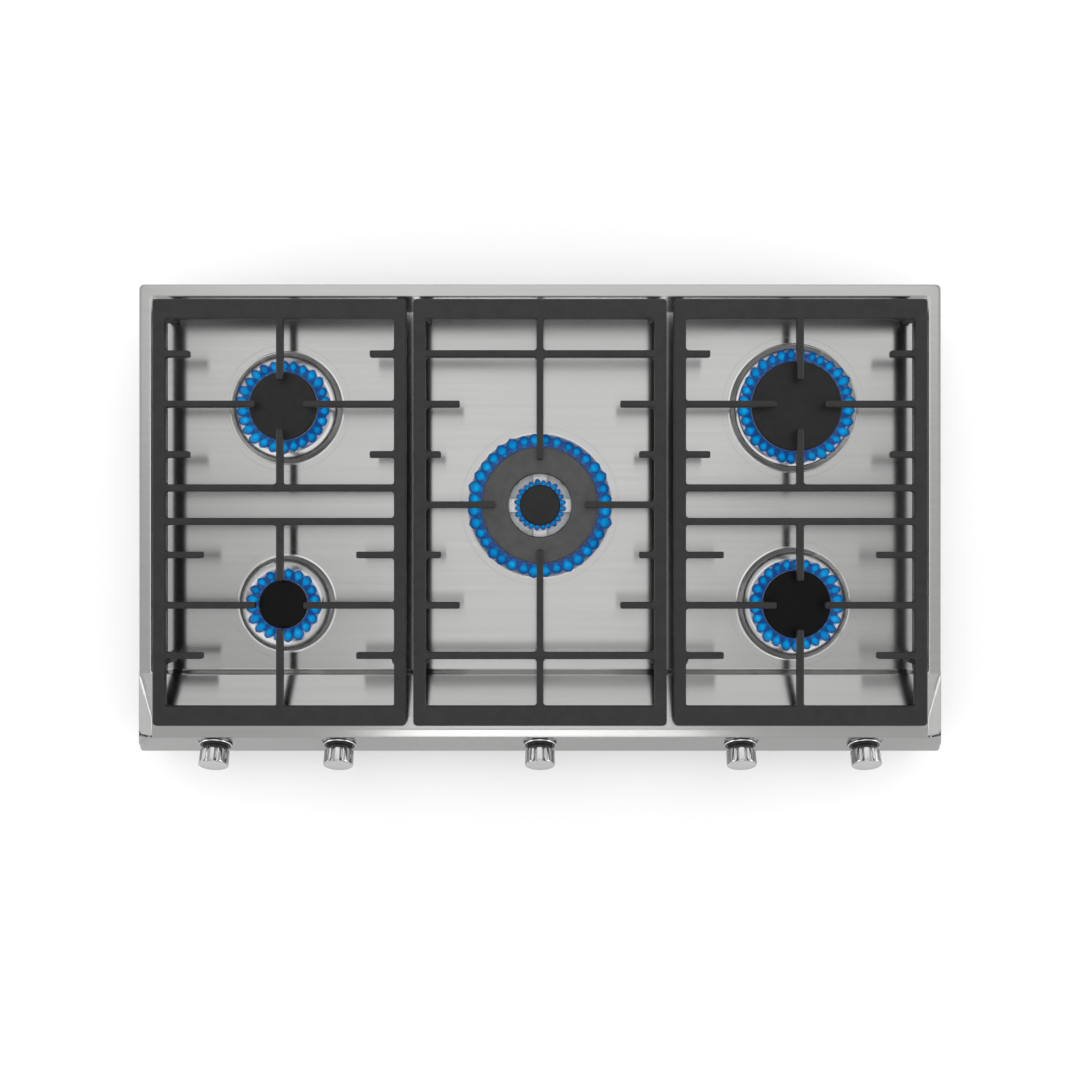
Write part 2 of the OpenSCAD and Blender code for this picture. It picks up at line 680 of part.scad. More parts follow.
module burner_bases() {
    color(CAST) for (i = [0:4]) {
        ring_r = ring_rs[i];
        hole_r = ring_r - opening_inset;
        cup_r = i == 2 ? 34 : 18;
        difference() {
            union() {
                translate([burner_at[i][0], burner_at[i][1], 0]) {
                    translate([0, 0, base_flange_z]) cylinder(h = base_flange_t, r = ring_r - 3);
                    translate([0, 0, base_top_z - EPS])
                        cylinder(h = floor_z - base_top_z - 1, r = hole_r - 0.5);
                    translate([0, 0, mixer_z]) cylinder(h = base_top_z - mixer_z, r = cup_r);
                    cylinder_ring(floor_z - 2, floor_z + 4, throat_r, throat_r - 2);
                    if (i == 2) cylinder_ring(floor_z - 2, floor_z + 0.2, 50, 47);
                }
                for (x = cup_shifts(i)) translate([burner_at[i][0] + x, burner_at[i][1], boss_z]) {
                    cylinder(h = mixer_z - boss_z + EPS, r = 10);
                    translate([0, 0, tube_z - boss_z]) rotate([90, 0, 0])
                        cylinder(h = boss_reach, r = 6);
                }
            }
            translate([burner_at[i][0], burner_at[i][1], mixer_z + 3])
                cylinder(h = 60, r = throat_r - 2 + EPS);
            if (i == 2) translate([0, 0, mixer_z + 3]) rotate_extrude()
                translate([chamber_r, 0]) square([30 - chamber_r, 20]);
            if (i == 2) translate([0, 0, floor_z - 8]) for (a = [45:90:315]) rotate(a)
                translate([40, 0, 0]) cylinder(h = 20, r = 5);
            for (x = cup_shifts(i)) translate([burner_at[i][0] + x, burner_at[i][1], 0]) {
                translate([0, 0, tube_z]) cylinder(h = 10, r = 4);
                translate([0, -boss_reach - 1, tube_z]) rotate([-90, 0, 0])
                    cylinder(h = 9, r = tube_bore_r);
                translate([0, -boss_reach, tube_z]) rotate([-90, 0, 0])
                    cylinder(h = boss_reach, r = 2);
            }
            screws_at(i) translate([0, 0, base_flange_z - 1]) cylinder(h = 10, r = screw_r + run_gap);
            electrode_at(i) translate([0, 0, base_flange_z - 1]) cylinder(h = 10, r = 2.6);
        }
    }
}

module cylinder_ring(z0, z1, r1, r0) {
    translate([0, 0, z0]) difference() {
        cylinder(h = z1 - z0, r = r1);
        translate([0, 0, -1]) cylinder(h = z1 - z0 + 2, r = r0);
    }
}

module injectors() {
    color(BRASS) for (i = [0:4], x = cup_shifts(i))
        translate([burner_at[i][0] + x, burner_at[i][1], tube_z + 3]) difference() {
            union() {
                cylinder(h = 8, r = 4 - run_gap);
                translate([0, 0, 5.2]) cylinder(h = 4, r = 5, $fn = 6);
            }
            translate([0, 0, -1]) cylinder(h = 7, r = 2);
            cylinder(h = 20, r = 0.6);
        }
}

module burner_screws() {
    color(ZINC) for (i = [0:4]) screws_at(i) translate([0, 0, ring_z]) pan_screw(7);
}

// ---------- ignition ----------

electrode_foot_z = 60;
electrode_top_z = floor_z + 11;
module spark_electrodes() {
    color(CERAMIC) for (i = [0:4]) electrode_at(i) {
        translate([0, 0, electrode_foot_z]) cylinder(h = electrode_top_z - electrode_foot_z, r = 2.4);
        translate([0, 0, base_flange_z - 4]) cylinder(h = 3.8, r = 3.6);
        translate([0, 0, electrode_top_z]) cylinder(h = 4, r = 0.9);
    }
}

module spark_module() {
    color(BLACK) translate([module_x, module_y, box_t]) {
        translate([-module_size[0] / 2, -module_size[1] / 2, 0]) cube(module_size);
        for (s = [-1, 1]) difference() {
            translate([s * (module_size[0] / 2 + 5) - 6, -8, 0]) cube([12, 16, 3]);
            translate([s * (module_size[0] / 2 + 6), 0, -1]) cylinder(h = 6, r = screw_hole_r);
        }
    }
}

lead_r = 1.25;
lead_bend = 5;
function electrode_pt(i) = [
    burner_at[i][0] + (cap_rs[i] + electrode_gap) * cos(electrode_deg[i]),
    burner_at[i][1] + (cap_rs[i] + electrode_gap) * sin(electrode_deg[i])];
module ignition_leads() {
    face_y = module_y - module_size[1] / 2;
    switch_line = knob_pt(0, switch_h / 2 + 3, (valve_front + switch_front) / 2);
    color(BLACK) {
        // one lead from the module to the foot of each electrode
        for (i = [0:4]) {
            z = 6 + 4 * i;
            x = module_x - 24 + 12 * i;
            e = electrode_pt(i);
            tube_path([[x, face_y, z], [x, e[1], z], [e[0], e[1], z],
                [e[0], e[1], electrode_foot_z]], lead_r, lead_bend, 8);
        }
        // the switch harness, with a short tail to each switch
        harness_x = -outer_knob_x - 16;
        tube_path([[harness_x, face_y, 26], [harness_x, -200, 26],
            [harness_x, switch_line[1], switch_line[2]],
            [outer_knob_x, switch_line[1], switch_line[2]]], lead_r, lead_bend, 8);
        for (x = knob_xs) at_knob(x)
            translate([0, switch_h / 2, (valve_front + switch_front) / 2]) rotate([-90, 0, 0])
                cylinder(h = 3, r = lead_r);
        // mains lead from the gland to the module
        tube_path([[module_x, box_rear - 14, gland_z], [module_x, module_y, gland_z],
            [module_x, module_y, box_t + module_size[2]]], 3, lead_bend, 12);
    }
}

module ignition_switches() {
    color(BLACK) for (x = knob_xs) at_knob(x) translate([0, 0, valve_front]) difference() {
        translate([-switch_w / 2, -switch_h / 2, 0.1])
            cube([switch_w, switch_h, switch_front - valve_front - 0.1]);
        translate([0, 0, -1]) cylinder(h = 20, r = stem_r + 1);
    }
}

module power_inlet() {
    color(BLACK) translate([module_x, box_rear, gland_z]) rotate([90, 0, 0]) difference() {
        union() {
            translate([0, 0, -12]) cylinder(h = 26, r = gland_hole_r - 0.3);
            translate([0, 0, -8]) cylinder(h = 7.8, r = gland_hole_r + 3, $fn = 6);
            translate([0, 0, box_t + 0.2]) cylinder(h = 4, r = gland_hole_r + 3, $fn = 6);
        }
        translate([0, 0, -20]) cylinder(h = 33, r = 3.6);
    }
}

module knob_bezels() {
    color(CHROME) for (x = knob_xs) at_knob(x) difference() {
        union() {
            translate([0, 0, 0.05]) cylinder(h = bezel_t, r = bezel_r);
            translate([0, 0, 0.05]) cylinder(h = bezel_t + 0.8, r = bezel_r - 1.5);
        }
        translate([0, 0, -1]) cylinder(h = 8, r = collar_hole_r);
    }
}

// ---------- burner heads and caps ----------

// cuts n radial gas ports through a wall at radius r
module port_slots(n, r, z0, z1, w) {
    for (k = [0:n - 1]) rotate(k * 360 / n)
        translate([r, -w / 2, z0]) cube([8, w, z1 - z0]);
}

head_foot_z = ring_z + seat_play;
head_plate_z = floor_z + 0.6;
cap_under_z = cap_z - cap_t;
head_top_z = cap_under_z - seat_play;
head_wall = 4.5;

module ring_head(i) {
    cap_r = cap_rs[i];
    body_r = cap_r - 3.5;
    foot_r = ring_rs[i] - 3.6;
    difference() {
        union() {
            cylinder_ring(head_foot_z, head_plate_z + 1, foot_r, foot_r - 2.4);
            translate([0, 0, head_plate_z]) cylinder(h = 2.4, r = foot_r);
            translate([0, 0, head_plate_z]) cylinder(h = head_top_z - head_plate_z, r = body_r);
        }
        translate([0, 0, head_plate_z + 2.4]) cylinder(h = BIG, r = body_r - head_wall);
        translate([0, 0, 0]) cylinder(h = BIG, r = throat_r + spigot_play);
        port_slots(port_counts[i], body_r - head_wall - 1, head_top_z - 4.5, BIG, 1.8);
        rotate(electrode_deg[i]) translate([cap_r + electrode_gap, 0, 0])
            cylinder(h = BIG, r = 3.2);
    }
    cylinder_ring(head_plate_z, head_plate_z + 8, throat_r + spigot_play + 2,
        throat_r + spigot_play);
}

module side_head(i) {
    color(CAST) translate([burner_at[i][0], burner_at[i][1], 0]) ring_head(i);
}
module head_left_front() { side_head(0); }
module head_left_rear() { side_head(1); }
module head_right_front() { side_head(3); }
module head_right_rear() { side_head(4); }

bridge_w = 15;
core_r = wok_core_r - 3;
module head_centre() {
    outer_r = wok_cap_r - 3.5;
    inner_r = wok_hole_r + 2.5;
    foot_r = ring_rs[2] - 3.6;
    color(CAST) difference() {
        union() {
            cylinder_ring(head_foot_z, head_plate_z + 1, foot_r, foot_r - 2.4);
            cylinder_ring(head_plate_z, head_plate_z + 2.4, foot_r, inner_r);
            cylinder_ring(head_plate_z, head_top_z, outer_r, outer_r - head_wall);
            cylinder_ring(head_plate_z, head_top_z, inner_r + 3, inner_r);
            cylinder_ring(head_plate_z, head_top_z - 3, core_r, throat_r + spigot_play);
            for (a = [0, 90, 180, 270]) rotate(a)
                translate([core_r - 2, -bridge_w / 2, head_plate_z])
                    cube([inner_r - core_r + 4, bridge_w, 9]);
        }
        port_slots(port_counts[2], outer_r - head_wall - 1, head_top_z - 4.5, BIG, 2);
        port_slots(24, core_r - 5, head_top_z - 6, BIG, 1.2);
        translate([0, 0, head_plate_z + 2.4]) cylinder(h = BIG, r = core_r - 3.5);
        rotate(electrode_deg[2]) translate([wok_cap_r + electrode_gap, 0, 0])
            cylinder(h = BIG, r = 3.2);
    }
}

// a disc cap with a rounded edge and a locating ring below
cap_edge = 2;
module cap_disc(r, z) {
    translate([0, 0, z]) rotate_extrude($fn = 96) polygon(concat(
        [[0, 0], [r - 1, 0], [r, 1]],
        [for (a = [0:15:90]) [r - cap_edge + cap_edge * cos(a), cap_t - cap_edge + cap_edge * sin(a)]],
        [[0, cap_t]]));
}

module side_cap(i) {
    spigot_r = cap_rs[i] - 3.5 - head_wall - spigot_play;
    color(ENAMEL) translate([burner_at[i][0], burner_at[i][1], 0]) {
        cap_disc(cap_rs[i], cap_under_z);
        cylinder_ring(cap_under_z - 3, cap_under_z + 1, spigot_r, spigot_r - 2.5);
    }
}
module cap_left_front() { side_cap(0); }
module cap_left_rear() { side_cap(1); }
module cap_right_front() { side_cap(3); }
module cap_right_rear() { side_cap(4); }

module cap_centre_ring() {
    spigot_r = wok_cap_r - 3.5 - head_wall - spigot_play;
    color(ENAMEL) {
        difference() {
            cap_disc(wok_cap_r, cap_under_z);
            translate([0, 0, cap_under_z - 1]) cylinder(h = 20, r = wok_hole_r);
        }
        cylinder_ring(cap_under_z - 3, cap_under_z + 1, spigot_r, spigot_r - 2.5);
    }
}

module cap_centre_core() {
    z = cap_under_z - 3;
    color(ENAMEL) {
        cap_disc(wok_core_r, z);
        cylinder_ring(z - 3, z + 1, core_r - 3.5 - spigot_play, core_r - 6);
    }
}

// ---------- grates ----------

corner_r = 4;
leg_w = 11;
leg_bore_r = 2.55;
leg_front_y = -ramp_start + 20;
leg_rear_y = grate_rear - end_bar_w + 6;
foot_z = floor_z + 0.1;
leg_z = foot_z + foot_h;
tip_r = 27;
wok_tip_r = 50;
cross_y = row_pitch / 3;

// how far the short fingers reach in from the outside of a grate
rear_finger_reach = 40.5;
front_finger_reach = 55.5;
outer_finger_reach = 51.5;
inner_finger_reach = 30.5;

// plan of the frame that all three grates share
module grate_frame() {
    d = grate_rear + grate_front;
    translate([0, (grate_rear - grate_front) / 2]) difference() {
        rounded(grate_w, d, corner_r);
        square([grate_w - 2 * side_bar_w, d - 2 * end_bar_w], center = true);
    }
}

// a finger from the side bar towards the middle, mirrored to both sides
module side_fingers(y, tip, w) {
    edge = grate_w / 2 - side_bar_w + 1;
    for (s = [-1, 1]) bar_between(s * edge, s * tip, y - w / 2, y + w / 2);
}

module mid_finger(y0, y1) { bar_between(-finger_w / 2, finger_w / 2, y0, y1); }

module cross_bar(y) {
    edge = grate_w / 2 - side_bar_w + 1;
    bar_between(-edge, edge, y - cross_bar_w / 2, y + cross_bar_w / 2);
}

module side_grate_plan() {
    grate_frame();
    for (s = [-1, 1]) cross_bar(s * cross_y);
    for (y = [rear_y, front_y]) side_fingers(y, tip_r, finger_w);
    for (dy = [-row_pitch, row_pitch]) {
        side_fingers(rear_y + dy, grate_w / 2 - rear_finger_reach, finger_w);
        side_fingers(front_y + dy, grate_w / 2 - front_finger_reach, finger_w);
    }
    mid_finger(rear_y + tip_r, grate_rear - end_bar_w + 1);
    mid_finger(cross_y, rear_y - tip_r);
    mid_finger(front_y + tip_r, -cross_y);
    mid_finger(-grate_front + end_bar_w - 1, front_y - tip_r);
}

module centre_grate_plan() {
    grate_frame();
    for (s = [-1, 1]) {
        cross_bar(s * 3 * row_pitch);
        side_fingers(s * 2 * row_pitch, grate_w / 2 - outer_finger_reach, finger_w);
        side_fingers(s * row_pitch, grate_w / 2 - inner_finger_reach, finger_w);
    }
    side_fingers(0, wok_tip_r, finger_w);
    mid_finger(wok_tip_r, grate_rear - end_bar_w + 1);
    mid_finger(-grate_front + end_bar_w - 1, -wok_tip_r);
}

// legs stand inside the frame's corners, on the floor of the well
module at_legs() {
    leg_x = grate_w / 2 - side_bar_w / 2 - 4.5;
    for (s = [-1, 1], y = [leg_front_y, leg_rear_y]) translate([s * leg_x, y, 0]) children();
}

module grate(x) {
    color(IRON) translate([x, 0, 0]) {
        translate([0, 0, bar_z]) linear_extrude(height = bar_t) children();
        at_legs() difference() {
            translate([-leg_w / 2, -leg_w / 2, leg_z]) cube([leg_w, leg_w, bar_z - leg_z + 1]);
            translate([0, 0, leg_z - 1]) cylinder(h = 8, r = leg_bore_r);
        }
    }
}
module grate_left() { grate(-grate_pitch) side_grate_plan(); }
module grate_centre() { grate(0) centre_grate_plan(); }
module grate_right() { grate(grate_pitch) side_grate_plan(); }

module grate_feet(x) {
    color(RUBBER) translate([x, 0, 0]) at_legs() translate([0, 0, foot_z]) {
        cylinder(h = foot_h - 0.05, r = leg_w / 2);
        cylinder(h = foot_h + 6, r = leg_bore_r - run_gap);
    }
}
module feet_left() { grate_feet(-grate_pitch); }
module feet_centre() { grate_feet(0); }
module feet_right() { grate_feet(grate_pitch); }

// ---------- knobs ----------

flute_count = 8;
flute_shift = -18;
module valve_plug(i) {
    color(BRASS) at_knob(knob_xs[i]) translate([0, 0, plug_back]) difference() {
        cylinder(h = plug_front - plug_back - 0.3, r = plug_r);
        translate([0, 0, plug_front - plug_back - 12.3]) cylinder(h = 20, r = stem_r + run_gap);
        translate([0, 0, manifold_at - plug_back]) rotate([90, 0, 0]) cylinder(h = 20, r = 2.5);
    }
}

module valve_stem(i) {
    color(ZINC) at_knob(knob_xs[i]) difference() {
        translate([0, 0, stem_back]) cylinder(h = stem_front - stem_back, r = stem_r);
        translate([-stem_r, stem_r - 1.2, stem_front - 14]) cube([2 * stem_r, 4, 20]);
    }
}

module knob_core(i) {
    color(BLACK) at_knob(knob_xs[i]) difference() {
        union() {
            translate([0, 0, 1]) cylinder(h = shell_back - 1.1, r = collar_r);
            translate([0, 0, 1]) cylinder(h = knob_front - 4, r = collar_r - 2);
        }
        translate([0, 0, 0]) cylinder(h = stem_front - 13.5, r = stem_r + run_gap);
        difference() {
            translate([0, 0, 0]) cylinder(h = stem_front + 1, r = stem_r + run_gap);
            translate([-10, stem_r - 1.15, stem_front - 14]) cube([20, 4, 30]);
        }
    }
}

module knob_shell(i) {
    color(CHROME) at_knob(knob_xs[i]) difference() {
        rotate_extrude($fn = 96) polygon([[0, shell_back], [knob_r - 1.4, shell_back],
            [knob_r - 0.8, shell_back + 0.6], [knob_r, knob_front - 2.5],
            [knob_r - 0.6, knob_front - 0.8], [knob_r - 2, knob_front], [0, knob_front]]);
        translate([0, 0, -1]) cylinder(h = knob_front - 2, r = collar_r - 2 + run_gap);
        for (k = [0:flute_count - 1]) rotate(90 + flute_shift + k * 360 / flute_count)
            translate([knob_r + 0.3, 0, shell_back - 1])
                cylinder(h = knob_front - shell_back - 2, r = 1.2, $fn = 24);
    }
}

module plug_1() { valve_plug(0); }
module plug_2() { valve_plug(1); }
module plug_3() { valve_plug(2); }
module plug_4() { valve_plug(3); }
module plug_5() { valve_plug(4); }
module stem_1() { valve_stem(0); }
module stem_2() { valve_stem(1); }
module stem_3() { valve_stem(2); }
module stem_4() { valve_stem(3); }
module stem_5() { valve_stem(4); }
module knob_core_1() { knob_core(0); }
module knob_core_2() { knob_core(1); }
module knob_core_3() { knob_core(2); }
module knob_core_4() { knob_core(3); }
module knob_core_5() { knob_core(4); }
module knob_shell_1() { knob_shell(0); }
module knob_shell_2() { knob_shell(1); }
module knob_shell_3() { knob_shell(2); }
module knob_shell_4() { knob_shell(3); }
module knob_shell_5() { knob_shell(4); }

cooktop_pan();
control_fascia();
burner_box();
manifold_brackets();
gas_manifold();
pressure_regulator();
inlet_elbow();
gas_valves();
knob_bezels();
gas_tubes();
injectors();
burner_bases();
spark_electrodes();
spark_module();
ignition_leads();
ignition_switches();
hold_down_clips();
box_studs();
stud_nuts();
fascia_screws();
burner_screws();
flange_seal();
power_inlet();
grate_left();
grate_centre();
grate_right();
feet_left();
feet_centre();
feet_right();
head_left_front();
head_left_rear();
head_centre();
head_right_front();
head_right_rear();
cap_left_front();
cap_left_rear();
cap_centre_ring();
cap_centre_core();
cap_right_front();
cap_right_rear();
plug_1();
stem_1();
knob_core_1();
knob_shell_1();
plug_2();
stem_2();
knob_core_2();
knob_shell_2();
plug_3();
stem_3();
knob_core_3();
knob_shell_3();
plug_4();
stem_4();
knob_core_4();
knob_shell_4();
plug_5();
stem_5();
knob_core_5();
knob_shell_5();
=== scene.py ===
"""Gas rangetop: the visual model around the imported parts, with materials, light and camera."""

import math

import bmesh
import bpy
import numpy as np
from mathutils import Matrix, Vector


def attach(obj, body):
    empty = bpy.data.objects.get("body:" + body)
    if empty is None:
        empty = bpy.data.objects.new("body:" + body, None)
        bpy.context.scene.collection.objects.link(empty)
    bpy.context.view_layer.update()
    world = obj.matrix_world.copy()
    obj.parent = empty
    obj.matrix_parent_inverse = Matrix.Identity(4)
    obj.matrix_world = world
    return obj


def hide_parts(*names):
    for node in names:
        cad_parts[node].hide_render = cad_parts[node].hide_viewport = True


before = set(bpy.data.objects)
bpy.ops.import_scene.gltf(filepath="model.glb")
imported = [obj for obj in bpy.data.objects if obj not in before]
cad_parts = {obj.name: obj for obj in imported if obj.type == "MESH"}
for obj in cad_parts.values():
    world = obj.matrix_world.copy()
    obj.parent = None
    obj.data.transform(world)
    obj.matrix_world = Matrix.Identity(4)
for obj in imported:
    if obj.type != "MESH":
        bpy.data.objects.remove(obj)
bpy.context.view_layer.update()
MM = 0.001

# ---------------------------------------------------------------- sizes, in mm
# top sheet: half width, rear edge, foot of the ramp, level of the counter flange
HALF_W, REAR, RAMP, RIM = 457.0, 252.0, 192.0, 100.0
# flange width, depth of its turned-down edge, depth of the well and level of its floor
FLANGE, HEM, WELL, FLOOR = 14.0, 4.0, 10.0, 90.0
# runs of the well's side walls and of its front wall
SLOPE, FRONT_RUN = 15.0, 4.0
LEDGE_RISE, RAMP_RUN, LEDGE_IN = 22.0, 47.5, 21.0
# front edge of the ledge, and the bend from the falling band to the panel
LEDGE_Y, NOSE_Y, NOSE_Z = -252.0, -261.7, 118.6
LEAN = math.radians(28)
FOOT_Z, SKIRT_Y, SKIRT_Z = 80.0, -283.2, 25.0
# half width of the panel's lower cheeks
CHEEK = 461.0
SHEET = 1.2
# x and y of the axis, cap radius, inner and outer radius of the pressed bowl, number of flames
BURNERS = {
    "left_front": (-290, -112, 27.5, 33.5, 57.0, 20),
    "left_rear": (-290, 112, 38.5, 46.5, 66.0, 26),
    "centre": (0, 0, 66.0, 73.0, 84.0, 36),
    "right_front": (290, -112, 38.5, 46.5, 66.0, 26),
    "right_rear": (290, 112, 51.0, 60.0, 75.0, 32),
}
# level of the cap tops, and thickness of the caps
CAP_Z, CAP_T = 116.0, 8.0
CAP_HOLE_R, CORE_R = 35.6, 23.0
KNOB_X = (-369, -228, 0, 228, 369)
# the panel's point that the knob axes pass through
PANEL_Y, PANEL_Z = -271.324, 100.5
COLLAR_HOLE_R = 13.9
FLAME_Z, INNER_FLAME_Z = 105.5, 103.0


# ---------------------------------------------------------------- mesh helpers
def new_object(name, verts, faces, hint=None, smooth=True):
    """A mesh from millimetre points. With a hint, faces are turned so that they look that way."""
    mesh = bpy.data.meshes.new(name)
    mesh.from_pydata([tuple(v) for v in np.asarray(verts, float) * MM], [], [list(f) for f in faces])
    mesh.validate()
    if hint is not None:
        total = sum((p.normal.dot(Vector(hint)) * p.area for p in mesh.polygons), 0.0)
        if total < 0:
            mesh.flip_normals()
    if smooth:
        mesh.polygons.foreach_set("use_smooth", [True] * len(mesh.polygons))
    mesh.update()
    obj = bpy.data.objects.new(name, mesh)
    bpy.context.scene.collection.objects.link(obj)
    return obj


def grid_faces(rows, cols, start=0, wrap=False):
    """Quads of a grid of points; wrap joins the last column to the first."""
    faces = []
    last = cols if wrap else cols - 1
    for i in range(rows - 1):
        for j in range(last):
            k = (j + 1) % cols
            a = start + i * cols
            faces.append((a + j, a + k, a + cols + k, a + cols + j))
    return faces


def lathe(profile, steps=128, shape=None):
    """Points and faces of an (r, w) profile turned about its axis; shape(r, w, angle) may change r."""
    verts = []
    for r, w in profile:
        for k in range(steps):
            a = 2 * math.pi * k / steps
            rr = shape(r, w, a) if shape else r
            verts.append((rr * math.cos(a), rr * math.sin(a), w))
    return verts, grid_faces(len(profile), steps, wrap=True)


def soft_step(t, r):
    """0 below 0 and 1 above 1, straight between, with both bends rounded over r."""
    def relu(u):
        return np.where(u < -r, 0.0, np.where(u > r, u, (u + r) ** 2 / (4 * r)))
    return relu(t) - relu(t - 1)


def soft_min(a, b, k):
    """The smaller of two values, blended over k where they meet."""
    h = np.clip(0.5 + 0.5 * (b - a) / k, 0, 1)
    return b + (a - b) * h - k * h * (1 - h)


def arc(cx, cy, r, a0, a1, n):
    """Points on an arc, angles in degrees."""
    return [(cx + r * math.cos(math.radians(a0 + (a1 - a0) * i / n)),
             cy + r * math.sin(math.radians(a0 + (a1 - a0) * i / n))) for i in range(n + 1)]


def stations(lo, hi, step, dense):
    """Values from lo to hi, a step apart, and closer around each value in dense."""
    out = set(np.round(np.linspace(lo, hi, int((hi - lo) / step) + 1), 3))
    for c in dense:
        for d in np.linspace(-3, 3, 13):
            if lo < c + d < hi:
                out.add(round(float(c + d), 3))
    out = sorted(out)
    kept = [out[0]]
    for v in out[1:]:
        if v - kept[-1] > 0.2:
            kept.append(v)
    return np.array(kept)


def solidify(obj, thick):
    """Gives a sheet its thickness, below the modelled face."""
    m = obj.modifiers.new("thickness", "SOLIDIFY")
    m.thickness = thick * MM
    m.offset = -1


def soften(obj, width):
    """Rounds the sharp edges of a piece."""
    m = obj.modifiers.new("soft_edges", "BEVEL")
    m.width = width * MM
    m.segments = 2
    m.limit_method = "ANGLE"
    m.angle_limit = math.radians(35)


def fix_normals(obj):
    """Makes a closed piece's faces look outward, and joins its seam."""
    bm = bmesh.new()
    bm.from_mesh(obj.data)
    bmesh.ops.remove_doubles(bm, verts=bm.verts, dist=0.000001)
    bmesh.ops.recalc_face_normals(bm, faces=bm.faces)
    bm.to_mesh(obj.data)
    bm.free()
    obj.data.polygons.foreach_set("use_smooth", [True] * len(obj.data.polygons))


# ---------------------------------------------------------------- materials
class Nodes:
    """Small helper for building a material's node tree."""

    def __init__(self, name):
        self.mat = bpy.data.materials.new(name)
        self.mat.use_nodes = True
        self.tree = self.mat.node_tree
        self.bsdf = self.tree.nodes["Principled BSDF"]
        self.coords = self.tree.nodes.new("ShaderNodeTexCoord").outputs["Object"]

    def link(self, a, b):
        self.tree.links.new(a, b)

    def stretch(self, scale):
        n = self.tree.nodes.new("ShaderNodeMapping")
        n.inputs["Scale"].default_value = scale
        self.link(self.coords, n.inputs["Vector"])
        return n.outputs["Vector"]

    def noise(self, scale, stretch=(1, 1, 1), detail=4.0, rough=0.55):
        n = self.tree.nodes.new("ShaderNodeTexNoise")
        n.inputs["Scale"].default_value = scale
        n.inputs["Detail"].default_value = detail
        n.inputs["Roughness"].default_value = rough
        self.link(self.stretch(stretch), n.inputs["Vector"])
        return n.outputs["Fac"]

    def remap(self, value, lo, hi, a=0.3, b=0.7):
        n = self.tree.nodes.new("ShaderNodeMapRange")
        n.inputs["From Min"].default_value = a
        n.inputs["From Max"].default_value = b
        n.inputs["To Min"].default_value = lo
        n.inputs["To Max"].default_value = hi
        self.link(value, n.inputs["Value"])
        return n.outputs["Result"]

    def mix(self, value, colour_a, colour_b):
        n = self.tree.nodes.new("ShaderNodeMix")
        n.data_type = "RGBA"
        n.inputs["A"].default_value = (*colour_a, 1)
        n.inputs["B"].default_value = (*colour_b, 1)
        self.link(value, n.inputs["Factor"])
        return n.outputs["Result"]

    def bump(self, value, distance, strength=1.0):
        n = self.tree.nodes.new("ShaderNodeBump")
        n.inputs["Strength"].default_value = strength
        n.inputs["Distance"].default_value = distance
        self.link(value, n.inputs["Height"])
        self.link(n.outputs["Normal"], self.bsdf.inputs["Normal"])


def scaled(colour, k):
    return tuple(min(1.0, c * k) for c in colour)


def surface(name, colour, rough, metal, spread=0.1, grain=60.0, stretch=(1, 1, 1),
            bump=0.0, rough_spread=0.05, specular=None):
    """A surface whose colour and roughness vary with a grain, and whose bump follows it."""
    n = Nodes(name)
    fine = n.noise(grain, stretch)
    broad = n.noise(grain / 12, stretch, detail=2.0)
    n.link(n.mix(n.remap(broad, 0, 1), scaled(colour, 1 - spread), scaled(colour, 1 + spread)),
           n.bsdf.inputs["Base Color"])
    n.link(n.remap(fine, max(0.02, rough - rough_spread), rough + rough_spread),
           n.bsdf.inputs["Roughness"])
    n.bsdf.inputs["Metallic"].default_value = metal
    if specular is not None:
        n.bsdf.inputs["Specular IOR Level"].default_value = specular
    if bump:
        n.bump(fine, bump)
    return n.mat


def stainless(name, colour=(0.368, 0.368, 0.363), rough=0.20):
    """Brushed along X: long fine scratches that blur the reflection."""
    n = Nodes(name)
    scratches_per_m, bands_per_m = 1300, 160
    brush = n.noise(1.0, (9, scratches_per_m, scratches_per_m), detail=3.0)
    band = n.noise(1.0, (3, bands_per_m, bands_per_m), detail=3.0)
    cloud = n.noise(3.5, detail=2.0)
    n.link(n.mix(n.remap(band, 0, 1), scaled(colour, 0.975), scaled(colour, 1.025)),
           n.bsdf.inputs["Base Color"])
    n.link(n.remap(cloud, rough - 0.03, rough + 0.05), n.bsdf.inputs["Roughness"])
    n.bsdf.inputs["Metallic"].default_value = 1.0
    n.bsdf.inputs["Anisotropic"].default_value = 0.85
    across = n.tree.nodes.new("ShaderNodeTangent")
    across.direction_type = "RADIAL"
    across.axis = "X"
    n.link(across.outputs["Tangent"], n.bsdf.inputs["Tangent"])
    n.bump(brush, 0.00001, 0.5)
    return n.mat


